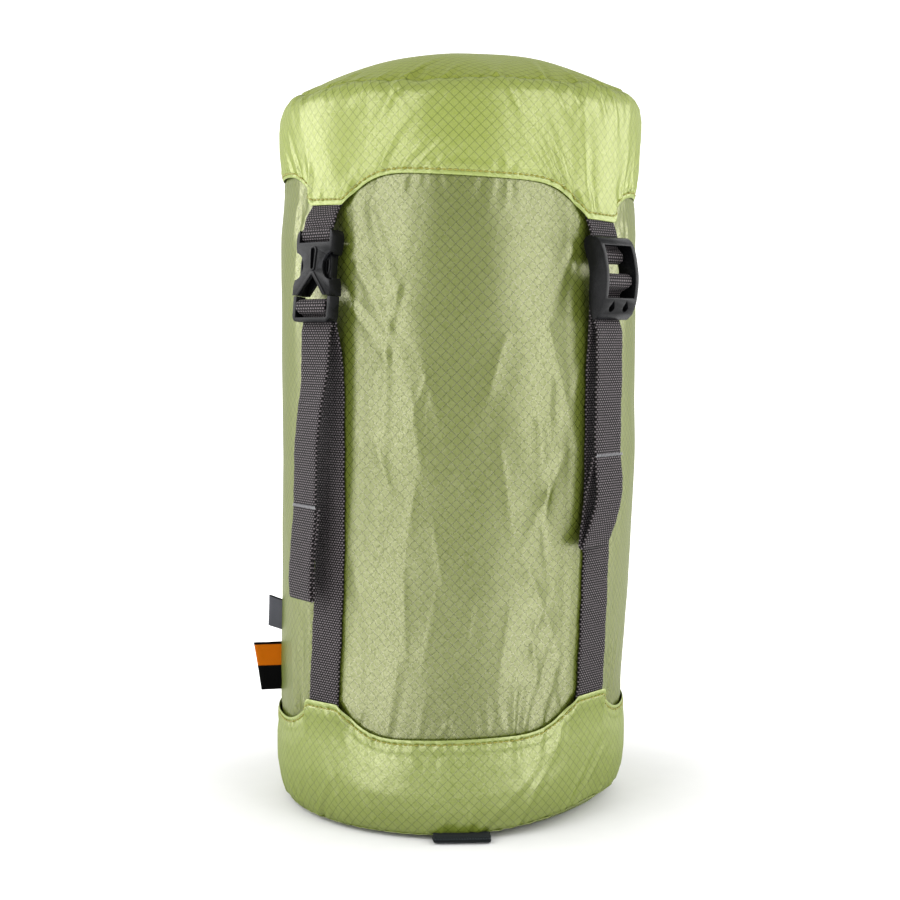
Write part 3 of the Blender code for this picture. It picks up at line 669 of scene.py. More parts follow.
def crumpled_skirt(design, folds, distances, noise, sag, groove):
    """A cap's wall with its folds, noise, turned hem and seam groove, laid over the straps.

    Folds and distances are (from the hem, from the seam); noise is (broad, crumple, tall, seed) and the
    groove (depth, width).
    """
    theta = angles(COLUMNS)[None, :]
    from_hem, from_seam = folds
    to_hem, to_seam = distances
    broad, crumple, tall, seed = noise
    level = design[..., 2]
    broad = broad * MM * value_noise(theta, level, 0.034, tall, seed)
    crumple = crumple * MM * value_noise(theta, level + 0.02 * np.sin(theta * 5), 0.011, 0.014, seed + 1)
    free = np.clip(to_hem / (8 * MM), 0.15, 1) * np.clip(to_seam / (5 * MM), 0.05, 1)
    height = from_hem.height * np.clip(to_hem / (2.4 * MM), 0.25, 1) + from_seam.height * 0.9
    height = height + (broad + crumple + sag) * free + hem_detail(to_hem)
    height = height - groove[0] * MM * bell(to_seam, groove[1] * MM)
    radius = np.hypot(design[..., 0], design[..., 1])
    height = height + over_straps(theta, radius, STRAP_FACE) * step_down(to_hem, 3 * MM, 17 * MM)
    return design + normals_of(design) * height[..., None]


def round_uvs(height):
    """The cloth unrolled: distance round the sack against height."""
    theta = angles(COLUMNS)[None, :]
    return np.stack(np.broadcast_arrays(theta * PATTERN_RADIUS, height), axis=-1)


# ---------------------------------------------------------------- the lid


# (share of the climb from hem to seam, radius)
LID_WALL = (
    (0.00, 0.0899),
    (0.12, 0.0910),
    (0.35, 0.0922),
    (0.60, 0.0927),
    (0.76, 0.0923),
    (0.86, 0.0911),
    (0.93, 0.0893),
    (0.975, 0.0871),
    (1.00, SEAM_RADIUS),
)

# Folds: degrees from the front, length, width and depth in mm, slant sideways, curl, start in mm
LID_SEAM_FOLDS = (
    (-21, 36, 2.6, 1.1, -0.25, -0.25),
    (-24, 22, 2.0, 0.9, 0.30, 0.2),
    (-33, 16, 1.8, 0.7, -0.2),
    (24, 30, 2.6, 0.8, 0.35, 0.1),
    (30, 20, 2.0, 0.8, 0.5, 0.2),
    (44, 26, 2.2, 0.9, 0.2),
    (52, 34, 2.4, 1.0, -0.1, 0.1),
    (-62, 28, 2.2, 0.8, 0.3),
)
LID_HEM_FOLDS = (
    (-27, 34, 2.2, 0.9, 0.35, 0.15),
    (-21, 28, 1.8, 0.9, 0.75, 0.1),
    (-17, 24, 1.6, 0.7, 0.85, 0.1),
    (-11, 20, 1.6, 0.6, 0.70, 0.1),
    (34, 46, 2.6, 0.9, -0.75, 0.2),
    (30, 40, 2.2, 0.8, -0.80, 0.2),
    (26, 30, 1.8, 0.6, -0.85, 0.2),
    (41, 42, 2.6, 0.8, -0.35, 0.1),
    (58, 36, 2.2, 0.8, 0.15),
    (66, 34, 2.0, 0.8, 0.05),
    (-55, 26, 2.0, 0.6, 0.25),
)
LID_QUARTER_FOLDS = (
    (-25, 34, 2.1, 0.75, 0.5, 0.1),
    (-18, 26, 2.1, 0.75, 0.8, 0.1),
    (24, 30, 2.1, 0.75, -0.7, 0.1),
    (30, 40, 2.1, 0.75, -0.6, 0.1),
    (38, 36, 2.1, 0.75, -0.3, 0.1),
)
CROWN_FOLDS = (
    (-21, 28, 2.6, 1.2, 0.3, 0.1),
    (-8, 20, 2.0, 0.9, 0.3, 0.1),
    (8, 24, 2.2, 1.0, 0.3, 0.1),
    (24, 30, 2.6, 1.2, 0.3, 0.1),
    (38, 24, 2.2, 1.0, 0.3, 0.1),
)


def lid_skirt_surface(angle, climb):
    radius = rounded_profile(LID_WALL, climb)
    low = hem_height(angle, LID_HEM, LID_SLOPE, LID_RADIUS)
    high = LID_SEAM_Z - SEAM_FALL + CROWN_SLOPE * radius * np.cos(angle)
    return ring(radius, angle, low + (high - low) * climb)


def dome_surface(angle, share):
    radius = SEAM_RADIUS * (1 - share) + POINT_RADIUS * share
    height = LID_SEAM_Z - SEAM_FALL + DOME * (1 - (radius / SEAM_RADIUS) ** 2.4)
    return ring(radius, angle, height + CROWN_SLOPE * radius * np.cos(angle))


def pucker(points, to_seam):
    """Moves cloth near the crown seam out and up, as the seam puckers."""
    theta = angles(COLUMNS)[None, :]
    grip = bell(to_seam, 6 * MM)
    out = 0.55 * MM * value_noise(theta, 0.0 * theta, 0.012, 1.0, 31, 3) * grip
    points[..., 0] += out * np.cos(theta)
    points[..., 1] += out * np.sin(theta)
    points[..., 2] += 0.80 * MM * value_noise(theta, 0.0 * theta, 0.015, 1.0, 32, 3) * grip
    return leaned(points)


def make_lid(cloth, shaded_crown_cloth, thread):
    theta = angles(COLUMNS)[None, :]
    rows = WALL_ROWS
    climb = rows[:, None]
    skirt = lid_skirt_surface(theta, climb)
    to_hem = climb * (WALL_TALL + 0 * theta)
    to_seam = (1 - climb) * (WALL_TALL + 1.5 * MM)
    slack = looseness(0.030, (1.0, 0.022, 0.3), (0, 0.012, 0.25))
    sag = settle(lid_skirt_surface, 20, rows, skirt_held, slack, 0.02, 1.2, 1.6 * MM, 1.8 * MM)
    from_hem = Folds(theta, to_hem, 0.0915)
    from_hem.scatter(150, (4, 17), (0.8, 1.7), (0.10, 0.42), 0.5, 11)
    from_seam = Folds(theta, to_seam, 0.0915)
    from_seam.scatter(96, (4, 30), (1.0, 2.4), (0.20, 0.85), 0.7, 12)
    from_seam.lay(LID_SEAM_FOLDS)
    from_hem.lay(LID_HEM_FOLDS)
    for quarter in (90, 180, 270):
        from_hem.lay(LID_QUARTER_FOLDS, quarter)
    noise = (0.75, 0.16, 0.060, 13)
    points = crumpled_skirt(skirt, (from_hem, from_seam), (to_hem, to_seam), noise, sag, (0.55, 1.1))
    points = pucker(points, to_seam)
    wall = shell("lid_skirt", points, round_uvs(skirt[..., 2]), hem_share(to_hem), cloth, CAP_CLOTH)

    dome_rows = spread(0.085, 16, 0.35 * MM, 1.35 * MM)
    share = dome_rows[:, None]
    dome = dome_surface(theta, share)
    inwards = share * SEAM_RADIUS

    def dome_held(angle, share):
        return (share < 0.02) * 1.0 + (share > 0.97) * 0.3 + 0 * angle

    slack = looseness(0.022, (0, 0.020, 0.25))
    lift = settle(dome_surface, 26, dome_rows, dome_held, slack, 0.01, 0.8, 1.2 * MM, 1.4 * MM)
    crown = Folds(theta, inwards, 0.085)
    crown.scatter(90, (4, 26), (1.0, 2.4), (0.20, 0.85), 0.5, 21)
    crown.lay(CROWN_FOLDS)
    narrowing = np.clip((1 - share) * 1.6, 0, 1)
    broad = 0.7 * MM * value_noise(theta, inwards, 0.040, 0.030, 23, 1) * narrowing
    height = (crown.height * 0.9 + broad) * np.clip(inwards / (2 * MM), 0.2, 1) * narrowing + lift * narrowing
    height = height - 0.55 * MM * bell(inwards, 1.1 * MM)
    points = pucker(dome + normals_of(dome) * height[..., None], inwards)
    crown = shell("lid_crown", points, dome[..., :2], 0 * (inwards + theta), shaded_crown_cloth, CAP_CLOTH)
    return wall, crown, hem_stitches("lid_hem_stitches", wall, to_hem, thread)


def hem_stitches(name, wall, to_hem, thread):
    """Topstitching along the row of the wall that lies nearest to the stitches' place."""
    row = int(np.argmin(np.abs(to_hem[:, 0] - STITCH_ROW)))
    line = wall.data.vertices[row * COLUMNS : (row + 1) * COLUMNS]
    return stitch_line(name, [vertex.co.copy() for vertex in line], thread)


STITCH_PITCH = 2.8 * MM
STITCH_LENGTH = 2.45 * MM
STITCH_RADIUS = 0.36 * MM
# (place along a stitch, its thickness there, how high it stands) from one end to the other
STITCH_SHAPE = (
    (-1.0, 0.45, -0.25),
    (-0.7, 0.95, 0.15),
    (0.0, 1.10, 0.42),
    (0.7, 0.95, 0.15),
    (1.0, 0.45, -0.25),
)
STITCH_SIDES = 6


def stitch_line(name, points, material):
    """Topstitching: short rounded threads laid end to end on a closed line of points."""
    lengths = [0.0]
    closed = points + [points[0]]
    for first, second in zip(closed, closed[1:]):
        lengths.append(lengths[-1] + (second - first).length)
    total = lengths[-1]
    count = int(total / STITCH_PITCH)
    dice = random.Random(len(name))
    turns = [TAU * corner / STITCH_SIDES for corner in range(STITCH_SIDES)]
    stitches = []

    def at(distance):
        distance %= total
        index = int(np.searchsorted(lengths, distance, side="right")) - 1
        index = min(index, len(points) - 1)
        span = lengths[index + 1] - lengths[index]
        return closed[index].lerp(closed[index + 1], (distance - lengths[index]) / max(span, 1e-9))

    for number in range(count):
        middle = total * number / count
        half = STITCH_LENGTH / 2 * dice.uniform(0.92, 1.06)
        start, end = at(middle - half), at(middle + half)
        centre = (start + end) / 2
        axis = (end - start).normalized()
        out = Vector((centre.x, centre.y, 0)).normalized()
        side = axis.cross(out).normalized()
        out = side.cross(axis).normalized()
        rings = []
        for along, size, lift in STITCH_SHAPE:
            point = centre + axis * (along * half) + out * (lift * MM * 0.6 + 0.12 * MM)
            offsets = [(side * math.cos(turn) + out * math.sin(turn)) * STITCH_RADIUS for turn in turns]
            rings.append([point + offset * size for offset in offsets])
        stitches.append(rings)
    return add_object(name, tube_mesh(name, stitches), material)


# ---------------------------------------------------------------- the base cap


# (share of the climb from seam to hem, radius)
BASE_WALL = (
    (0.00, BASE_RIM),
    (0.05, 0.0872),
    (0.12, 0.0884),
    (0.25, 0.0900),
    (0.42, 0.0911),
    (0.70, 0.0913),
    (1.00, 0.0901),
)
BASE_HEM_FOLDS = (
    (-28, 20, 1.9, 0.7, 0.1),
    (-14, 22, 1.8, 0.7, 0.1),
    (-5, 24, 1.8, 0.8, 0.05),
    (-2, 20, 1.6, -0.7, 0.15),
    (18, 30, 2.2, 0.8, 0.05),
    (27, 26, 2.2, 0.7, -0.2),
    (35, 30, 2.4, 0.7, -0.3),
    (-44, 24, 2.0, 0.5, 0.2),
)
BASE_SEAM_FOLDS = (
    (18, 44, 2.6, 0.8, 0.45, 0.1),
    (6, 40, 2.6, 0.7, 0.85, 0.1),
    (36, 36, 2.4, 0.9, 0.75, 0.1),
    (42, 34, 2.4, 1.0, 0.80, 0.1),
    (55, 26, 2.2, 0.9, 0.6, 0.1),
    (-36, 40, 2.4, 0.7, -0.55, 0.1),
    (-50, 42, 2.4, 0.7, -0.25, 0.1),
    (-24, 26, 2.0, 0.6, -0.6, 0.1),
)
BASE_QUARTER_FOLDS = (
    (-25, 30, 2.3, 0.7, 0.4, 0.1),
    (-10, 22, 2.3, 0.7, 0.1, 0.1),
    (12, 24, 2.3, 0.7, -0.1, 0.1),
    (28, 34, 2.3, 0.7, -0.5, 0.1),
    (40, 30, 2.3, 0.7, 0.6, 0.1),
)


def base_seam_height(angle):
    """The base seam rides up at the front right, where the cloth of the base disc shows."""
    return BASE_SEAM_Z + 0.0075 * bell(wrapped(angle - front_angle(54)), math.radians(34))


def front_swell(angle, height):
    """How far the foot of the base bulges towards the front."""
    return BASE_SWELL * bell(wrapped(angle - FRONT), math.radians(48)) * step_down(height, 0.004, 0.040)


def base_skirt_surface(angle, climb):
    radius = rounded_profile(BASE_WALL, climb)
    low = base_seam_height(angle)
    high = hem_height(angle, BASE_HEM, BASE_SLOPE, BASE_RADIUS)
    height = low + (high - low) * climb
    return ring(radius + front_swell(angle, height), angle, height)


def base_disc_surface(angle, share):
    radius = BASE_RIM * (1 - share) + POINT_RADIUS * share
    curve = np.clip((radius - FLAT_RADIUS) / (BASE_RIM - FLAT_RADIUS), 0, 1)
    swell = front_swell(angle, 0.0) * (1 - share)
    return ring(radius + swell, angle, base_seam_height(angle) * curve**1.6)


def make_base(cloth, thread):
    theta = angles(COLUMNS)[None, :]
    rows = 1 - WALL_ROWS[::-1]
    climb = rows[:, None]
    skirt = base_skirt_surface(theta, climb)
    to_seam = climb * 0.050 + 0 * theta
    to_hem = (1 - climb) * WALL_TALL + 0 * theta

    def held(angle, climb):
        return skirt_held(angle, 1 - climb)

    slack = looseness(0.026, (0, 0.014, 0.3), (1, 0.014, 0.25))
    sag = settle(base_skirt_surface, 20, rows, held, slack, 0.02, 1.2, 1.4 * MM, 1.4 * MM)
    from_hem = Folds(theta, to_hem, 0.0912)
    from_hem.scatter(150, (4, 20), (0.8, 1.8), (0.12, 0.60), 0.45, 41)
    from_seam = Folds(theta, to_seam, 0.088)
    from_seam.scatter(90, (4, 22), (1.0, 2.2), (0.12, 0.60), 0.6, 42)
    from_hem.lay(BASE_HEM_FOLDS)
    from_seam.lay(BASE_SEAM_FOLDS)
    for quarter in (90, 180, 270):
        from_seam.lay(BASE_QUARTER_FOLDS, quarter)
    noise = (0.60, 0.15, 0.050, 43)
    points = crumpled_skirt(skirt, (from_hem, from_seam), (to_hem, to_seam), noise, sag, (0.45, 0.9))
    points[..., 2] = np.maximum(points[..., 2], 0.0004)
    wall = shell("base_skirt", leaned(points), round_uvs(skirt[..., 2]), hem_share(to_hem), cloth, CAP_CLOTH)

    share = spread(0.085, 12, 0.5 * MM, 2.2 * MM)[:, None]
    disc = base_disc_surface(theta, share)
    inwards = share * SEAM_RADIUS
    under = Folds(theta, inwards, 0.085)
    under.scatter(70, (4, 14), (1.2, 2.4), (0.15, 0.5), 0.4, 51)
    lift = np.clip(disc[..., 2] / (2 * MM), 0, 1)
    points = disc - normals_of(disc) * (under.height * lift)[..., None]
    points[..., 2] = np.maximum(points[..., 2], 0.0)
    points, flat = leaned(points)[::-1], disc[::-1, :, :2]
    underside = shell("base_underside", points, flat, 0 * (inwards + theta), cloth, CAP_CLOTH)
    return wall, underside, hem_stitches("base_hem_stitches", wall, to_hem, thread)


# ---------------------------------------------------------------- the body


BODY_LOW = 0.0360
BODY_HIGH = 0.3330
BODY_CLOTH = 0.30 * MM
# (height, how much wider than the tube) of the stuffed body
BODY_GIRTH = (
    (0.036, -0.0004),
    (0.062, 0.0000),
    (0.085, 0.0009),
    (0.110, 0.0013),
    (0.160, 0.0014),
    (0.210, 0.0018),
    (0.250, 0.0021),
    (0.290, 0.0018),
    (0.305, 0.0004),
    (0.333, -0.0008),
)
BODY_FOLDS = (
    (-30, 70, 3.4, 0.55, 0.30, 0, 10),
    (-34, 80, 3.2, 0.60, 0.42, 0, 34),
    (-36, 60, 2.6, 0.60, 0.55, 0, 52),
    (-20, 60, 2.6, 0.35, -0.28, 0, 52),
    (-24, 90, 3.0, 0.40, -0.05, 0, 80),
    (-12, 40, 2.0, 0.28, -0.35, 0, 95),
    (26, 80, 3.4, 0.40, -0.10, 0, 90),
    (22, 70, 3.0, 0.35, 0.05, 0, 110),
    (35, 60, 3.2, 0.45, -0.35, 0, 20),
    (38, 60, 2.8, 0.45, -0.25, 0, 70),
    (60, 80, 3.0, 0.45, 0.10, 0, 10),
    (-62, 90, 3.0, 0.45, -0.08, 0, 14),
)
BODY_BASE_FOLDS = (
    (17, 46, 1.9, 0.75, 0.02),
    (20, 34, 2.4, 0.55, 0.20),
    (33, 50, 2.6, 0.60, -0.25),
    (26, 40, 2.2, 0.45, 0.30),
    (-6, 24, 1.8, 0.60, 0.55),
    (-2, 30, 1.8, 0.50, -0.30),
    (-12, 34, 2.2, 0.35, 0.12),
    (-22, 66, 2.8, 0.45, 0.10),
    (-33, 60, 2.8, 0.50, 0.25),
    (-62, 70, 2.6, 0.55, 0.05),
    (62, 70, 2.6, 0.55, -0.05),
)
BODY_CREASES = (
    (32, 64, 3.4, 1.0, -0.42, 0, 118),
    (17, 56, 3.6, 1.1, 0.50, 0, 176),
    (28, 50, 3.0, -0.9, -0.35, 0, 186),
    (26, 46, 2.2, 0.7, -0.12, 0, 128),
    (22, 40, 2.0, -0.7, 0.20, 0, 150),
    (-29, 50, 3.2, 0.7, 0.30, 0, 118),
    (-22, 44, 2.6, -0.7, -0.30, 0, 150),
    (-36, 60, 3.6, 0.7, 0.22, 0, 172),
    (38, 70, 3.6, 0.9, 0.12, 0, 134),
    (-17, 52, 2.4, 0.5, 0.12, 0, 96),
    (-15, 50, 2.4, 0.6, -0.14, 0, 140),
    (-19, 56, 2.4, 0.6, 0.06, 0, 182),
    (-10, 38, 1.5, 0.5, 0.16, 0, 160),
    (-8, 44, 1.7, 0.5, -0.16, 0, 192),
    (3, 42, 1.5, 0.5, -0.12, 0, 190),
    (9, 56, 2.6, 0.5, 0.16, 0, 118),
    (14, 52, 2.4, 0.7, -0.10, 0, 196),
    (20, 46, 2.0, 0.8, 0.22, 0, 204),
    (30, 44, 2.2, -0.7, -0.26, 0, 208),
    (-14, 50, 3.6, 0.4, 0.30, 0, 84),
    (12, 50, 3.4, 0.5, -0.30, 0, 70),
    (24, 56, 3.2, 0.7, 0.30, 0, 60),
)
# (degrees from the front, length in mm, slant) of the folds beside each of the other three pairs of straps
BODY_QUARTER_FOLDS = ((-33, 80, 0.4), (-26, 60, 0.2), (27, 70, -0.2), (34, 80, -0.4))


def body_surface(angle, share):
    height = BODY_LOW + (BODY_HIGH - BODY_LOW) * share
    return ring(TUBE_RADIUS + profile_at(height, BODY_GIRTH), angle, height)


def make_body(cloth):
    theta = angles(COLUMNS)[None, :]
    rows = np.linspace(0, 1, 176)
    body = body_surface(theta, rows[:, None])
    height_at = body[..., 2]
    from_top = hem_height(theta, LID_HEM, LID_SLOPE, LID_RADIUS) - height_at
    from_base = height_at - hem_height(theta, BASE_HEM, BASE_SLOPE, BASE_RADIUS)

    def held(angle, share):
        return (share > 0.96) * 1.0 + (share < 0.04) * 1.0 + 0 * angle

    slack = looseness(0.016, (0, 0.010, 0.15), (1, 0.010, 0.15))
    sag = settle(body_surface, 82, rows, held, slack, 0.012, 0.9, 1.3 * MM, 1.2 * MM)
    under_lid = Folds(theta, from_top, TUBE_RADIUS)
    under_lid.scatter(120, (5, 26), (0.9, 2.2), (0.08, 0.42), 0.4, 61)
    over_base = Folds(theta, from_base, TUBE_RADIUS)
    over_base.scatter(110, (5, 30), (0.9, 2.4), (0.08, 0.45), 0.4, 62)
    under_lid.lay(BODY_FOLDS)
    over_base.lay(BODY_BASE_FOLDS)
    under_lid.lay(BODY_CREASES, sharp=True)
    for quarter in (90, 180, 270):
        for degrees, length, slant in BODY_QUARTER_FOLDS:
            under_lid.lay([(degrees, length, 3.0, 0.5, slant, 0, 12)], quarter)
            over_base.lay([(degrees, length, 2.8, 0.5, slant * 0.6)], quarter)
    broad = 0.85 * MM * value_noise(theta, height_at, 0.044, 0.090, 63, 3)
    crumple = 0.10 * MM * value_noise(theta, height_at, 0.013, 0.026, 64)
    strapped = over_straps(theta, np.hypot(body[..., 0], body[..., 1]), 0.0902, 21 * MM, 2 * MM)
    loose = np.ones_like(strapped)
    for middle in STRAP_ANGLES:
        width = np.abs(STRAP_RADIUS * wrapped(theta - math.radians(middle)))
        loose = loose - 0.85 * step_down(width, 9 * MM, 14 * MM)
    off_seam = TUBE_RADIUS * wrapped(theta - math.pi)
    seam = 0.35 * MM * bell(off_seam - 2.6 * MM, 2.2 * MM) - 0.55 * MM * bell(off_seam, 1.0 * MM)
    height = (under_lid.height + over_base.height + broad + crumple + sag + seam) * loose + strapped
    shown = [np.clip((distance + 2 * MM) / (4 * MM), 0, 1) for distance in (from_top, from_base)]
    shown = np.minimum(*shown)
    height = height * (0.25 + 0.75 * shown) - 0.3 * MM * (1 - shown)
    points = leaned(body + normals_of(body) * height[..., None])
    return shell("body_cloth", points, round_uvs(height_at), 0 * height_at, cloth, BODY_CLOTH)


# ---------------------------------------------------------------- the throat inside the lid


# (share of the neck, radius) and (share of the neck, height), from the tube's top to the mouth
NECK_RADIUS = ((0, 0.0893), (0.3, 0.0700), (1, 0.0300))
NECK_HEIGHT = ((0, 0.3290), (0.3, 0.3440), (1, 0.3535))
NECK_LENGTH = 0.062
CHANNEL = 0.0024
THROAT_CLOTH = 0.25 * MM


def make_throat(cloth):
    """The gathered neck of the body, drawn in to a small mouth with a turned channel round it."""
    theta = angles(COLUMNS)[None, :]
    rows = np.linspace(0, 1, 70)[:, None]
    gathers = np.sin(theta * 34 + 1.5 * np.sin(theta * 5)) * (0.3 * MM + 1.1 * MM * rows**1.3)
    gathers = gathers + 0.7 * MM * value_noise(theta, rows * 0.06, 0.02, 0.03, 71) * rows
    neck = ring(profile_at(rows, NECK_RADIUS), theta, profile_at(rows, NECK_HEIGHT) + gathers)
    turn = np.linspace(0, TAU, 18)[1:][:, None]
    mouth, top = NECK_RADIUS[-1][1], NECK_HEIGHT[-1][1]
    rim = top + CHANNEL * np.sin(turn) + CHANNEL * 0.6 + gathers[-1:] * 0.8
    channel = ring(mouth - CHANNEL * (1 - np.cos(turn)), theta, rim)
    points = leaned(np.concatenate([neck, channel]))
    distance = np.concatenate([rows * NECK_LENGTH, NECK_LENGTH + turn * CHANNEL]) + 0 * theta
    return shell("throat_cloth", points, round_uvs(distance), 0 * distance, cloth, THROAT_CLOTH)


# ---------------------------------------------------------------- webbing


def clipped(value):
    return min(max(value, 0.0), 1.0)


def smooth_path(points, step):
    """Centripetal Catmull-Rom through the points, sampled about every step."""
    padded = [points[0] * 2 - points[1]] + points + [points[-1] * 2 - points[-2]]
    made = []
    for index in range(1, len(padded) - 2):
        p = padded[index - 1 : index + 3]
        times = [0.0]
        for first, second in zip(p, p[1:]):
            times.append(times[-1] + max((second - first).length, 1e-7) ** 0.5)
        count = max(1, math.ceil((p[2] - p[1]).length / step))
        for part in range(count):
            t = times[1] + (times[2] - times[1]) * part / count

            def lerp(a, b, ta, tb):
                return a * ((tb - t) / (tb - ta)) + b * ((t - ta) / (tb - ta))

            a = [lerp(p[i], p[i + 1], times[i], times[i + 1]) for i in range(3)]
            b = [lerp(a[i], a[i + 1], times[i], times[i + 2]) for i in range(2)]
            made.append(lerp(b[0], b[1], times[1], times[2]))
    made.append(points[-1])
    return made


def strap_section(width, thick, flats=14):
    """(across, out) points round a flat strap with rounded edges."""
    edge = thick / 2
    inner = width / 2 - edge
    first = [(-inner + (width - thick) * number / flats, edge) for number in range(flats + 1)]
    for corner in (45, 0, -45):
        turn = math.radians(corner)
        first.append((inner + edge * math.cos(turn), edge * math.sin(turn)))
    return first + [(-u, -w) for u, w in first]


def band(name, path, across, width, thick, material, step=0.7 * MM, start=0.0, seed=1, wave=0.18 * MM):
    """A flat strap or tape swept along a path; across is the direction of its width."""
    line = smooth_path(path, step)
    across = Vector(across).normalized()
    dice = random.Random(seed)
    section = strap_section(width, thick)
    phase = [dice.uniform(0, TAU) for _ in range(4)]
    rings, uvs = [], []
    travelled = start
    for index, point in enumerate(line):
        before, after = line[max(index - 1, 0)], line[min(index + 1, len(line) - 1)]
        normal = across.cross((after - before).normalized()).normalized()
        if index:
            travelled += (point - line[index - 1]).length
        left = wave * (math.sin(travelled * 310 + phase[0]) + 0.6 * math.sin(travelled * 730 + phase[1]))
        right = wave * (math.sin(travelled * 270 + phase[2]) + 0.6 * math.sin(travelled * 810 + phase[3]))
        points = []
        for u, w in section:
            sideways = u + (left if u < 0 else right) * abs(u) / (width / 2)
            points.append(point + across * sideways + normal * w)
            uvs.append((u, travelled))
        rings.append(points)
    obj = add_object(name, tube_mesh(name, [rings], uvs), material)
    obj["length"] = travelled - start
    return obj


def strap_point(turn, sideways, out, height, lean=True):
    """A point of the strap at this turn: sideways along its width, and out from the sack's axis."""
    x = math.cos(turn) * sideways + math.sin(turn) * out
    y = math.sin(turn) * sideways - math.cos(turn) * out
    return Vector((x + (float(lean_at(height)) if lean else 0.0), y, height))


def place(turn, path, drift=None, lean=True):
    """World points of an (out, height) path, with a sideways drift that depends on height."""
    return [strap_point(turn, drift(z) if drift else 0.0, out, z, lean) for out, z in path]


def arc(centre, radius, start, end, steps):
    """(out, height) points of an arc; angles in degrees, 0 outwards and 90 up."""
    turns = [math.radians(start + (end - start) * i / steps) for i in range(steps + 1)]
    return [(centre[0] + radius * math.cos(t), centre[1] + radius * math.sin(t)) for t in turns]


BARTACK_WIDTH = 0.0204
BARTACK_TALL = 1.4 * MM
BARTACK_TURNS = 36
TACK_RADIUS = 0.20 * MM


def zigzag(name, centre, across, out, material):
    """A bar-tack: one thread zigzagging across a strap."""
    curve = bpy.data.curves.new(name, "CURVE")
    curve.dimensions = "3D"
    curve.bevel_depth = TACK_RADIUS
    curve.bevel_resolution = 1
    spline = curve.splines.new("POLY")
    spline.points.add(BARTACK_TURNS)
    for index in range(BARTACK_TURNS + 1):
        side = (index / BARTACK_TURNS - 0.5) * BARTACK_WIDTH
        rise = BARTACK_TALL / 2 * (1 if index % 2 else -1)
        point = centre + across * side + Vector((0, 0, rise)) + out * (0.12 * MM)
        spline.points[index].co = (*point, 1)
    made = bpy.data.objects.new(name, curve)
    bpy.context.scene.collection.objects.link(made)
    bpy.context.view_layer.update()
    mesh = bpy.data.meshes.new_from_object(made.evaluated_get(bpy.context.evaluated_depsgraph_get()))
    bpy.data.objects.remove(made)
    mesh.shade_smooth()
    return add_object(name, mesh, material)


# ---------------------------------------------------------------- straps


# (side, degrees round the sack, buckle, sideways swing of its tail)
STRAPS = (
    ("front_left", -45, "clip", -0.0095),
    ("front_right", 45, "lock", -0.0020),
    ("back_right", 135, "lock", 0.0030),
    ("back_left", -135, "clip", 0.0040),
)
# (lowest point of the finger loop, height of its bar-tack)
TAIL_ENDS = {"clip": (0.112, 0.1575), "lock": (0.138, 0.182)}
# Height where a strap's foot, stretched between base and lid, meets the riser that goes on to its buckle
SPLIT = 0.200
CLIP_PIVOT = (0.0940, 0.2872)
CLIP_TILT = math.radians(6)
TAIL_TWIST = math.radians(-11)


def tilted(point):
    """Turns an (out, height) point with the clip, which leans out of the vertical."""
    out, height = point[0] - CLIP_PIVOT[0], point[1] - CLIP_PIVOT[1]
    cosine, sine = math.cos(CLIP_TILT), math.sin(CLIP_TILT)
    return CLIP_PIVOT[0] + out * cosine - height * sine, CLIP_PIVOT[1] + height * cosine + out * sine


def clip_routes(lid_tip):
    """(out, height) paths of the webbing above a clip, through its slot, and of the turn round its bar."""
    upper = [(0.0900, lid_tip + 0.008), (0.0914, lid_tip + 0.001), (0.0955, lid_tip - 0.0055)]
    eye = []
    for step in range(13):
        turn = math.radians(50 - 230 * step / 12)
        tall = 0.0033 if turn < 0 else 0.0025
        eye.append((0.0963 + 0.0025 * math.cos(turn), 0.2868 + tall * math.sin(turn)))
    upper += [tilted(point) for point in eye + [(0.0932, 0.2882)]]
    wrap = [(0.0927, 0.2494)] + arc((0.0965, 0.2522), 0.00285, 170, -60, 9)
    wrap += [(0.0955, 0.2488), (0.0944, 0.2470), (0.0944, 0.2446)]
    return upper, [tilted(point) for point in wrap]


def lock_routes(lid_tip):
    """The same for a ladder lock: the loop round its upper bar, and the turn over its centre bar."""
    upper = [(0.0900, lid_tip + 0.008), (0.0914, lid_tip + 0.001), (0.0938, 0.2895), (0.0950, 0.2850)]
    upper += [(0.0951, 0.2812)] + arc((0.0958, 0.2765), 0.0027, 60, -180, 9)
    upper += [(0.0932, 0.2805), (0.0931, 0.2865)]
    wrap = [(0.0938, 0.2464), (0.0938, 0.2530), (0.0950, 0.2600)]
    wrap += arc((0.1010, 0.2650), 0.0027, 160, -80, 10)
    wrap += [(0.0980, 0.2603), (0.0960, 0.2560), (0.0957, 0.2520), (0.0960, 0.2464)]
    return upper, wrap


def tail_route(start, kind, bulge):
    """A tail's path down to its finger loop and back up inside; bulge opens the loop."""
    out, top = start
    bottom, stitch = TAIL_ENDS[kind]
    hang = out + 0.0022
    low = bottom + 0.0010
    mid = (stitch + low) / 2
    tail = [(out, top), (hang - 0.0006, top - 0.006), (hang, top - 0.020), (hang + 0.0006, stitch + 0.004)]
    tail += [(hang + 0.0012 + 0.3 * bulge, mid)]
    tail += arc((hang + 0.0004 - 0.4 * bulge, low), 0.0008, 0, -180, 4)
    tail += [(hang - 0.0004 - 0.9 * bulge, mid - 0.003), (hang - 0.0007, stitch - 0.0010)]
    return tail, hang


def drift_of(side, swing, top):
    """The sideways drift of a hanging tail, for each height."""

    def drift(height):
        away = swing * eased(clipped((top - height) / 0.065))
        if side == "front_right":
            away -= 0.008 * clipped((0.170 - height) / 0.030) ** 1.5
        if side == "front_left":
            free = clipped((height - 0.112) / 0.035) * clipped((top - height) / 0.030)
            away -= 0.0040 * math.sin(TAU * (height - 0.1716) / 0.080) * free
        return away

    return drift


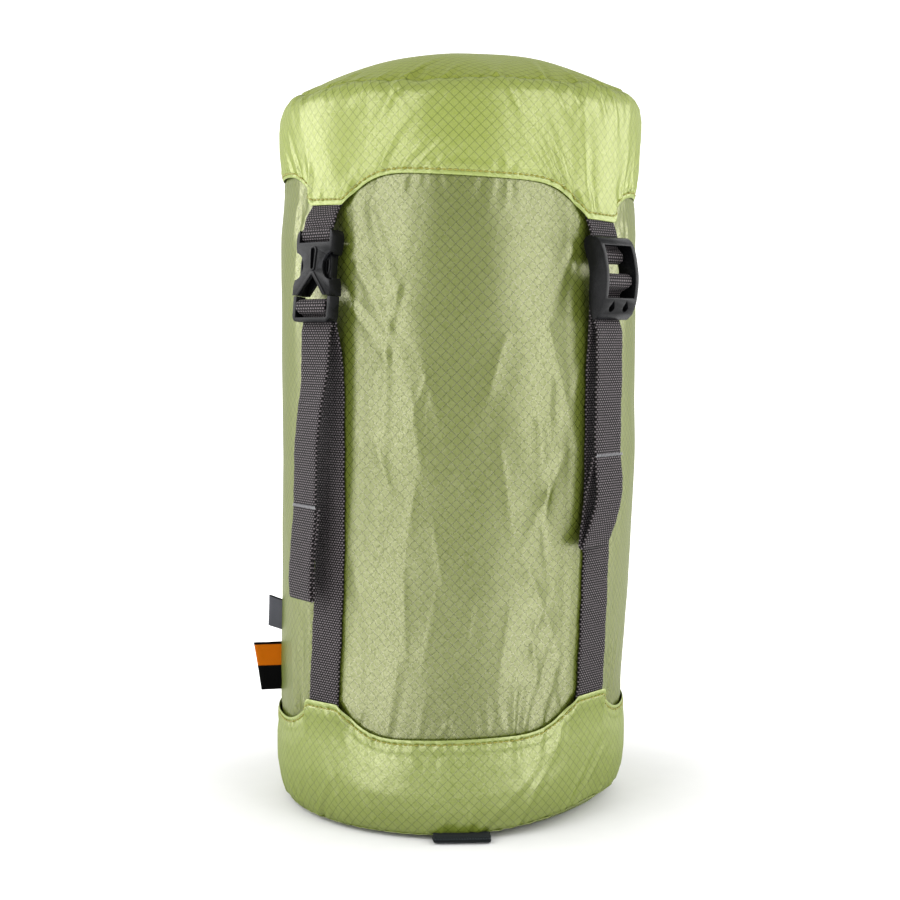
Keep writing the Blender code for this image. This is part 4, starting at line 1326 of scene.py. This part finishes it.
def twist(obj, centre, top, reach=0.045):
    """Turns a hanging strap about its own middle line, more and more over this far below its top."""
    for vertex in obj.data.vertices:
        turn = TAIL_TWIST * eased(clipped((top - vertex.co.z) / reach))
        middle = centre(vertex.co.z)
        x, y = vertex.co.x - middle.x, vertex.co.y - middle.y
        vertex.co.x = middle.x + x * math.cos(turn) - y * math.sin(turn)
        vertex.co.y = middle.y + x * math.sin(turn) + y * math.cos(turn)


def make_strap(number, side, degrees, kind, swing, web, tack):
    turn = math.radians(degrees)
    across = Vector((math.cos(turn), math.sin(turn), 0))
    outward = Vector((math.sin(turn), -math.cos(turn), 0))
    lid_tip = LID_HEM[0] + LID_SLOPE * LID_RADIUS * math.sin(turn)
    base_tip = BASE_HEM[0] + BASE_SLOPE * BASE_RADIUS * math.sin(turn)
    holder = kind + "_" + side
    upper, wrap = clip_routes(lid_tip) if kind == "clip" else lock_routes(lid_tip)
    strap_top, tail_start = wrap[0], wrap[-1]

    def strap(piece, path, seed, start=0.0, drift=None, lean=True):
        points = place(turn, path, drift, lean)
        return band(piece + "_strap_" + side, points, across, WEB_WIDTH, WEB, web, start=start, seed=seed)

    top = strap("hem", upper, number)
    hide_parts("upper_strap_" + side)
    if kind == "clip":
        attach(top, "lid")
    else:
        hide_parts("bar_loop_" + side)
        strap_point(turn, 0, 0.094, 0.2895)
        strap_point(turn, 0, 0.094, 0.2848)
        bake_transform(top)

    middle = (0.0916, SPLIT)
    lower = [(0.0896, base_tip - 0.009), (0.0914, base_tip - 0.001), (0.0915, base_tip + 0.02)]
    foot = strap("base", lower + [(0.0913, 0.130), middle], number + 10)
    travelled = foot["length"]
    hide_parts("lower_strap_" + side)
    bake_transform(foot)
    riser = strap("tension", [middle, (0.0919, 0.222), strap_top], number + 10, travelled)
    travelled += riser["length"]
    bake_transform(riser)
    loop = strap("wrap", wrap, number + 10, travelled)
    travelled += loop["length"]
    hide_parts("bar_wrap_" + side)
    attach(loop, holder)

    drift = drift_of(side, swing, tail_start[1])
    path, hang = tail_route(tail_start, kind, 0.0044 if side == "front_right" else 0.0)
    hanging = strap("tail", path, number + 20, travelled, drift, lean=False)
    body = "tail_" + side + "_end"
    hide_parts("tail_" + side)
    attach(hanging, body)
    stitch = TAIL_ENDS[kind][1]
    front = strap_point(turn, drift(stitch), hang + 0.0010 + WEB / 2, stitch, False)
    bar = zigzag("bartack_" + side, front, across, outward, tack)
    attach(bar, body)
    if side == "front_left":
        for piece in (hanging, bar):
            twist(piece, lambda height: strap_point(turn, drift(height), hang, height, False), tail_start[1])


# ---------------------------------------------------------------- tags


TAG_ROOT = -0.0885
# (Y, height) path of the folded tab's webbing, under the front of the base, before its shift to TAB_X, TAB_Y
TAB_FOLD = (
    (-0.0820, 3.0 * MM),
    (-0.0880, 2.95 * MM),
    (-0.0915, 2.6 * MM),
    (-0.0924, 1.8 * MM),
    (-0.0915, 1.05 * MM),
    (-0.0880, 0.80 * MM),
    (-0.0820, 0.80 * MM),
)
TAB_X = 0.0016
TAB_Y = -0.0032
TAB_WIDTH = 0.0275


def folded_tag(name, height, reach, tall, thick, material, bend, rise, taper):
    """A tape folded round its free edge, its two ends sewn into the side seam."""
    tip = TAG_ROOT - reach
    half = (TAG_ROOT + tip) / 2
    path = [(TAG_ROOT, -0.7 * MM), (half, -0.6 * MM + bend), (tip + 0.4 * MM, -0.30 * MM + bend * 2)]
    path += [(tip, 0.05 * MM + bend * 2), (tip + 0.4 * MM, 0.40 * MM + bend * 2)]
    path += [(half, 0.5 * MM + bend), (TAG_ROOT, 0.7 * MM)]
    points = [Vector((x + float(lean_at(height)), y, height)) for x, y in path]
    made = band(name, points, (0, 0, 1), tall, thick, material, step=0.5 * MM, seed=5, wave=0.05 * MM)
    for vertex in made.data.vertices:
        out = max(TAG_ROOT - vertex.co.x, 0.0)
        share = out / reach
        down = (height + tall / 2 - vertex.co.z) / tall
        vertex.co.x += taper * share * down
        vertex.co.z += rise * out
        vertex.co.y += 1.1 * MM * share * math.sin(3.0 * down + 0.5)
    return made


def make_tags(grey, flag, tab):
    small = folded_tag("size_tag_cloth", 0.0915, 0.0086, 0.0160, 0.30 * MM, grey, 0.2 * MM, 0.34, -0.4 * MM)
    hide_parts("size_tag")
    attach(small, "size_tag_flap")
    large = folded_tag("side_tag_cloth", 0.0660, 0.0155, 0.0250, 0.45 * MM, flag, -0.3 * MM, -0.03, 3.2 * MM)
    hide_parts("side_tag")
    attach(large, "side_tag_flap")

    points = [Vector((float(lean_at(0.0)) + TAB_X, y + TAB_Y, z)) for y, z in TAB_FOLD]
    pull = band("base_tab_web", points, (1, 0, 0), TAB_WIDTH, 1.2 * MM, tab, step=0.4 * MM, seed=6)
    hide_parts("base_tab")
    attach(pull, "base")


# ---------------------------------------------------------------- studio


CAMERA_TURN = math.radians(-2.7)
CAMERA_DISTANCE = 0.810
CAMERA_HEIGHT = 0.2400
CAMERA_PITCH = math.radians(4.3)
CAMERA_AIM = math.radians(0.3)
# (name, degrees to the camera's right, distance, height, (width, height) of the box, radiance)
SOFTBOXES = (
    ("left_softbox", -45, 1.15, 0.55, (0.86, 1.5), 3.3),
    ("right_softbox", 48, 1.15, 0.55, (0.84, 1.5), 3.1),
    ("left_fill", -100, 1.4, 0.45, (0.9, 1.3), 5.0),
    ("right_fill", 104, 1.4, 0.45, (0.9, 1.3), 4.4),
)
# Boards that lie face up in front of the sack and light the foot of each bright band
BOARDS = (
    ("left_board", -41, 0.42, 0.010, (0.34, 0.34), 2.4),
    ("right_board", 43, 0.42, 0.010, (0.34, 0.34), 2.4),
)
LIGHT_TARGET = Vector((0, 0, 0.17))
# The paper sweep: half its width, its near end, where it turns up, the radius of the turn and its top
SWEEP_HALF, SWEEP_NEAR, SWEEP_FLAT, SWEEP_TURN, SWEEP_TOP = 8, -6.0, 2.6, 1.2, 6.0
SWEEP_DROP = 0.0003


def area_light(name, azimuth, distance, height, size, radiance):
    """A softbox; azimuth is measured from the camera's side of the sack, positive to the camera's right."""
    light = bpy.data.lights.new(name, "AREA")
    light.shape = "RECTANGLE"
    light.size, light.size_y = size
    light.energy = math.pi * size[0] * size[1] * radiance
    obj = bpy.data.objects.new(name, light)
    bpy.context.scene.collection.objects.link(obj)
    turn = FRONT + CAMERA_TURN + math.radians(azimuth)
    obj.location = (distance * math.cos(turn), distance * math.sin(turn), height)
    obj.rotation_euler = (LIGHT_TARGET - obj.location).to_track_quat("-Z", "Y").to_euler()
    return obj


def make_camera(scene):
    camera = bpy.data.cameras.new("camera")
    camera.lens = 62
    camera.sensor_width = 36
    camera.clip_start = 0.01
    holder = bpy.data.objects.new("camera", camera)
    scene.collection.objects.link(holder)
    turn = FRONT + CAMERA_TURN
    holder.location = (CAMERA_DISTANCE * math.cos(turn), CAMERA_DISTANCE * math.sin(turn), CAMERA_HEIGHT)
    holder.rotation_euler = (math.pi / 2 - CAMERA_PITCH, 0, CAMERA_TURN + CAMERA_AIM)
    scene.camera = holder


def make_paper():
    """White paper that glows away from the sack, where it stays plain, and keeps the sack's shadow."""
    paper = Nodes("paper")
    reach = paper.add("ShaderNodeVectorMath", operation="LENGTH")
    paper.link(paper.point, reach.inputs[0])
    glow = paper.times(paper.ramp(reach.outputs["Value"], 0.08, 0.34), 0.75)
    paper.feed(Base_Color=paper.mix(paper.noise(60.0), (0.59, 0.59, 0.59), (0.62, 0.62, 0.62)))
    paper.feed(Emission_Color=(1.0, 1.0, 1.0), Emission_Strength=glow)
    paper.feed(Roughness=0.9, Specular_IOR_Level=0.1)
    return paper.material


def make_studio():
    scene = bpy.context.scene
    scene.view_settings.view_transform = "Standard"
    world = bpy.data.worlds.new("studio")
    scene.world = world
    world.use_nodes = True
    world.node_tree.nodes["Background"].inputs["Color"].default_value = (1.0, 1.0, 1.0, 1)
    world.node_tree.nodes["Background"].inputs["Strength"].default_value = 1.0
    make_camera(scene)
    for softbox in SOFTBOXES:
        area_light(*softbox)
    for board in BOARDS:
        light = area_light(*board)
        light.rotation_euler = (math.pi, 0, 0)
        light.visible_camera = False

    sweep = bmesh.new()
    profile = [(SWEEP_NEAR, 0.0), (SWEEP_FLAT, 0.0)]
    for turn in np.linspace(0.1, math.pi / 2, 14):
        profile.append((SWEEP_FLAT + SWEEP_TURN * math.sin(turn), SWEEP_TURN * (1 - math.cos(turn))))
    profile.append((SWEEP_FLAT + SWEEP_TURN, SWEEP_TOP))
    rows = [[sweep.verts.new((x, y, z - SWEEP_DROP)) for x in (-SWEEP_HALF, SWEEP_HALF)] for y, z in profile]
    for low, high in zip(rows, rows[1:]):
        sweep.faces.new((low[0], low[1], high[1], high[0]))
    mesh = bpy.data.meshes.new("sweep")
    sweep.to_mesh(mesh)
    sweep.free()
    mesh.shade_smooth()
    add_object("sweep", mesh, make_paper())


# ---------------------------------------------------------------- moulded pieces


SMALL_EDGE = 0.22 * MM
EDGE = 0.5 * MM


def smooth_group():
    """A node group that shades every face smooth, so that the bevels can carry the normals."""
    group = bpy.data.node_groups.new("shade_smooth", "GeometryNodeTree")
    group.interface.new_socket("Geometry", in_out="INPUT", socket_type="NodeSocketGeometry")
    group.interface.new_socket("Geometry", in_out="OUTPUT", socket_type="NodeSocketGeometry")
    entry, leave = group.nodes.new("NodeGroupInput"), group.nodes.new("NodeGroupOutput")
    smooth = group.nodes.new("GeometryNodeSetShadeSmooth")
    group.links.new(entry.outputs[0], smooth.inputs["Geometry"])
    group.links.new(smooth.outputs[0], leave.inputs[0])
    return group


def round_edges(obj, group, width):
    """Gives a moulded piece the small radii of its mould."""
    weld = obj.modifiers.new("Weld", "WELD")
    weld.merge_threshold = 0.000002
    flat = obj.modifiers.new("Decimate", "DECIMATE")
    flat.decimate_type = "DISSOLVE"
    flat.angle_limit = math.radians(2)
    obj.modifiers.new("Smooth", "NODES").node_group = group
    bevel = obj.modifiers.new("Bevel", "BEVEL")
    bevel.width = width
    bevel.segments = 3
    bevel.limit_method = "ANGLE"
    bevel.angle_limit = math.radians(32)
    bevel.harden_normals = True


# ---------------------------------------------------------------- everything together


def add_cap(pieces, nodes, body):
    """Hides the CAD's two pieces of cloth, and attaches the cap's wall, disc and stitches, which stand for
    them, to its body.
    """
    for piece, node in zip(pieces, nodes):
        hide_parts(node)
    for piece in pieces:
        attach(piece, body)
    for piece in pieces[:2]:
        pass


def main():
    # Each ripstop has its cloth's colour, its heavier threads' and its turned hem's; the hem's is partly the
    # double layer's own tone and partly a painted highlight on the rolled edge
    lid_hem_and_highlight, base_hem_shade_and_highlight, body_hem_and_highlight = (0.17, 0.215, 0.055), (0.16, 0.20, 0.05), (0.10, 0.125, 0.03)
    cap_cloth = ripstop("cap_ripstop", (0.138, 0.172, 0.026), (0.054, 0.077, 0.004), lid_hem_and_highlight)
    # The crown's cloth is the caps' cloth, a little darker and with less sheen: painted shade for the duller
    # light on the dome.
    shaded_crown_cloth = ripstop("crown_ripstop_shaded", (0.138, 0.168, 0.021), (0.054, 0.075, 0.004), lid_hem_and_highlight, 0.035)
    # The base's cloth and hem are the caps' cloth made darker: painted shade, for the lower light at the foot
    # of the sack.
    shaded_base_cloth = ripstop("base_ripstop_shaded", (0.118, 0.153, 0.020), (0.044, 0.066, 0.004), base_hem_shade_and_highlight, 0.100)
    body_cloth = ripstop("body_ripstop", (0.064, 0.081, 0.010), (0.015, 0.024, 0.001), body_hem_and_highlight, 0.095)
    web = webbing("strap_web", (0.001, 0.0008, 0.001), (0.098, 0.085, 0.089))
    tab_web = webbing("tab_web", (0.003, 0.004, 0.0045), (0.016, 0.022, 0.024), 0.9 * MM)
    acetal = plastic("acetal")
    green_thread = thread_material("hem_thread", (0.175, 0.165, 0.014))
    tack = thread_material("tack_thread", (0.24, 0.24, 0.25))
    grey = tape("grey_tape", (0.080, 0.082, 0.094), (0.010, 0.010, 0.012), -0.020, 7.4 * MM)
    flag = tape("flag_tape", (0.44, 0.105, 0.0006), (0.0005, 0.0005, 0.0006), 0.2 * MM, 11.3 * MM)

    body = make_body(body_cloth)
    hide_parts("body_tube", "side_seam_tape")
    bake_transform(body)

    add_cap(make_lid(cap_cloth, shaded_crown_cloth, green_thread), ("top_cap", "top_disc"), "lid")
    add_cap(make_base(shaded_base_cloth, green_thread), ("bottom_cap", "bottom_disc"), "base")

    throat = make_throat(body_cloth)
    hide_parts("throat", "throat_channel")
    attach(throat, "throat_ring")

    for number, strap in enumerate(STRAPS):
        make_strap(number, *strap, web, tack)
    make_tags(grey, flag, tab_web)

    group = smooth_group()
    for name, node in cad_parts.items():
        if not node.hide_render:
            node.data.materials.clear()
            node.data.materials.append(acetal)
            round_edges(node, group, SMALL_EDGE if "prong" in name or "eyelet" in name else EDGE)

    make_studio()


main()
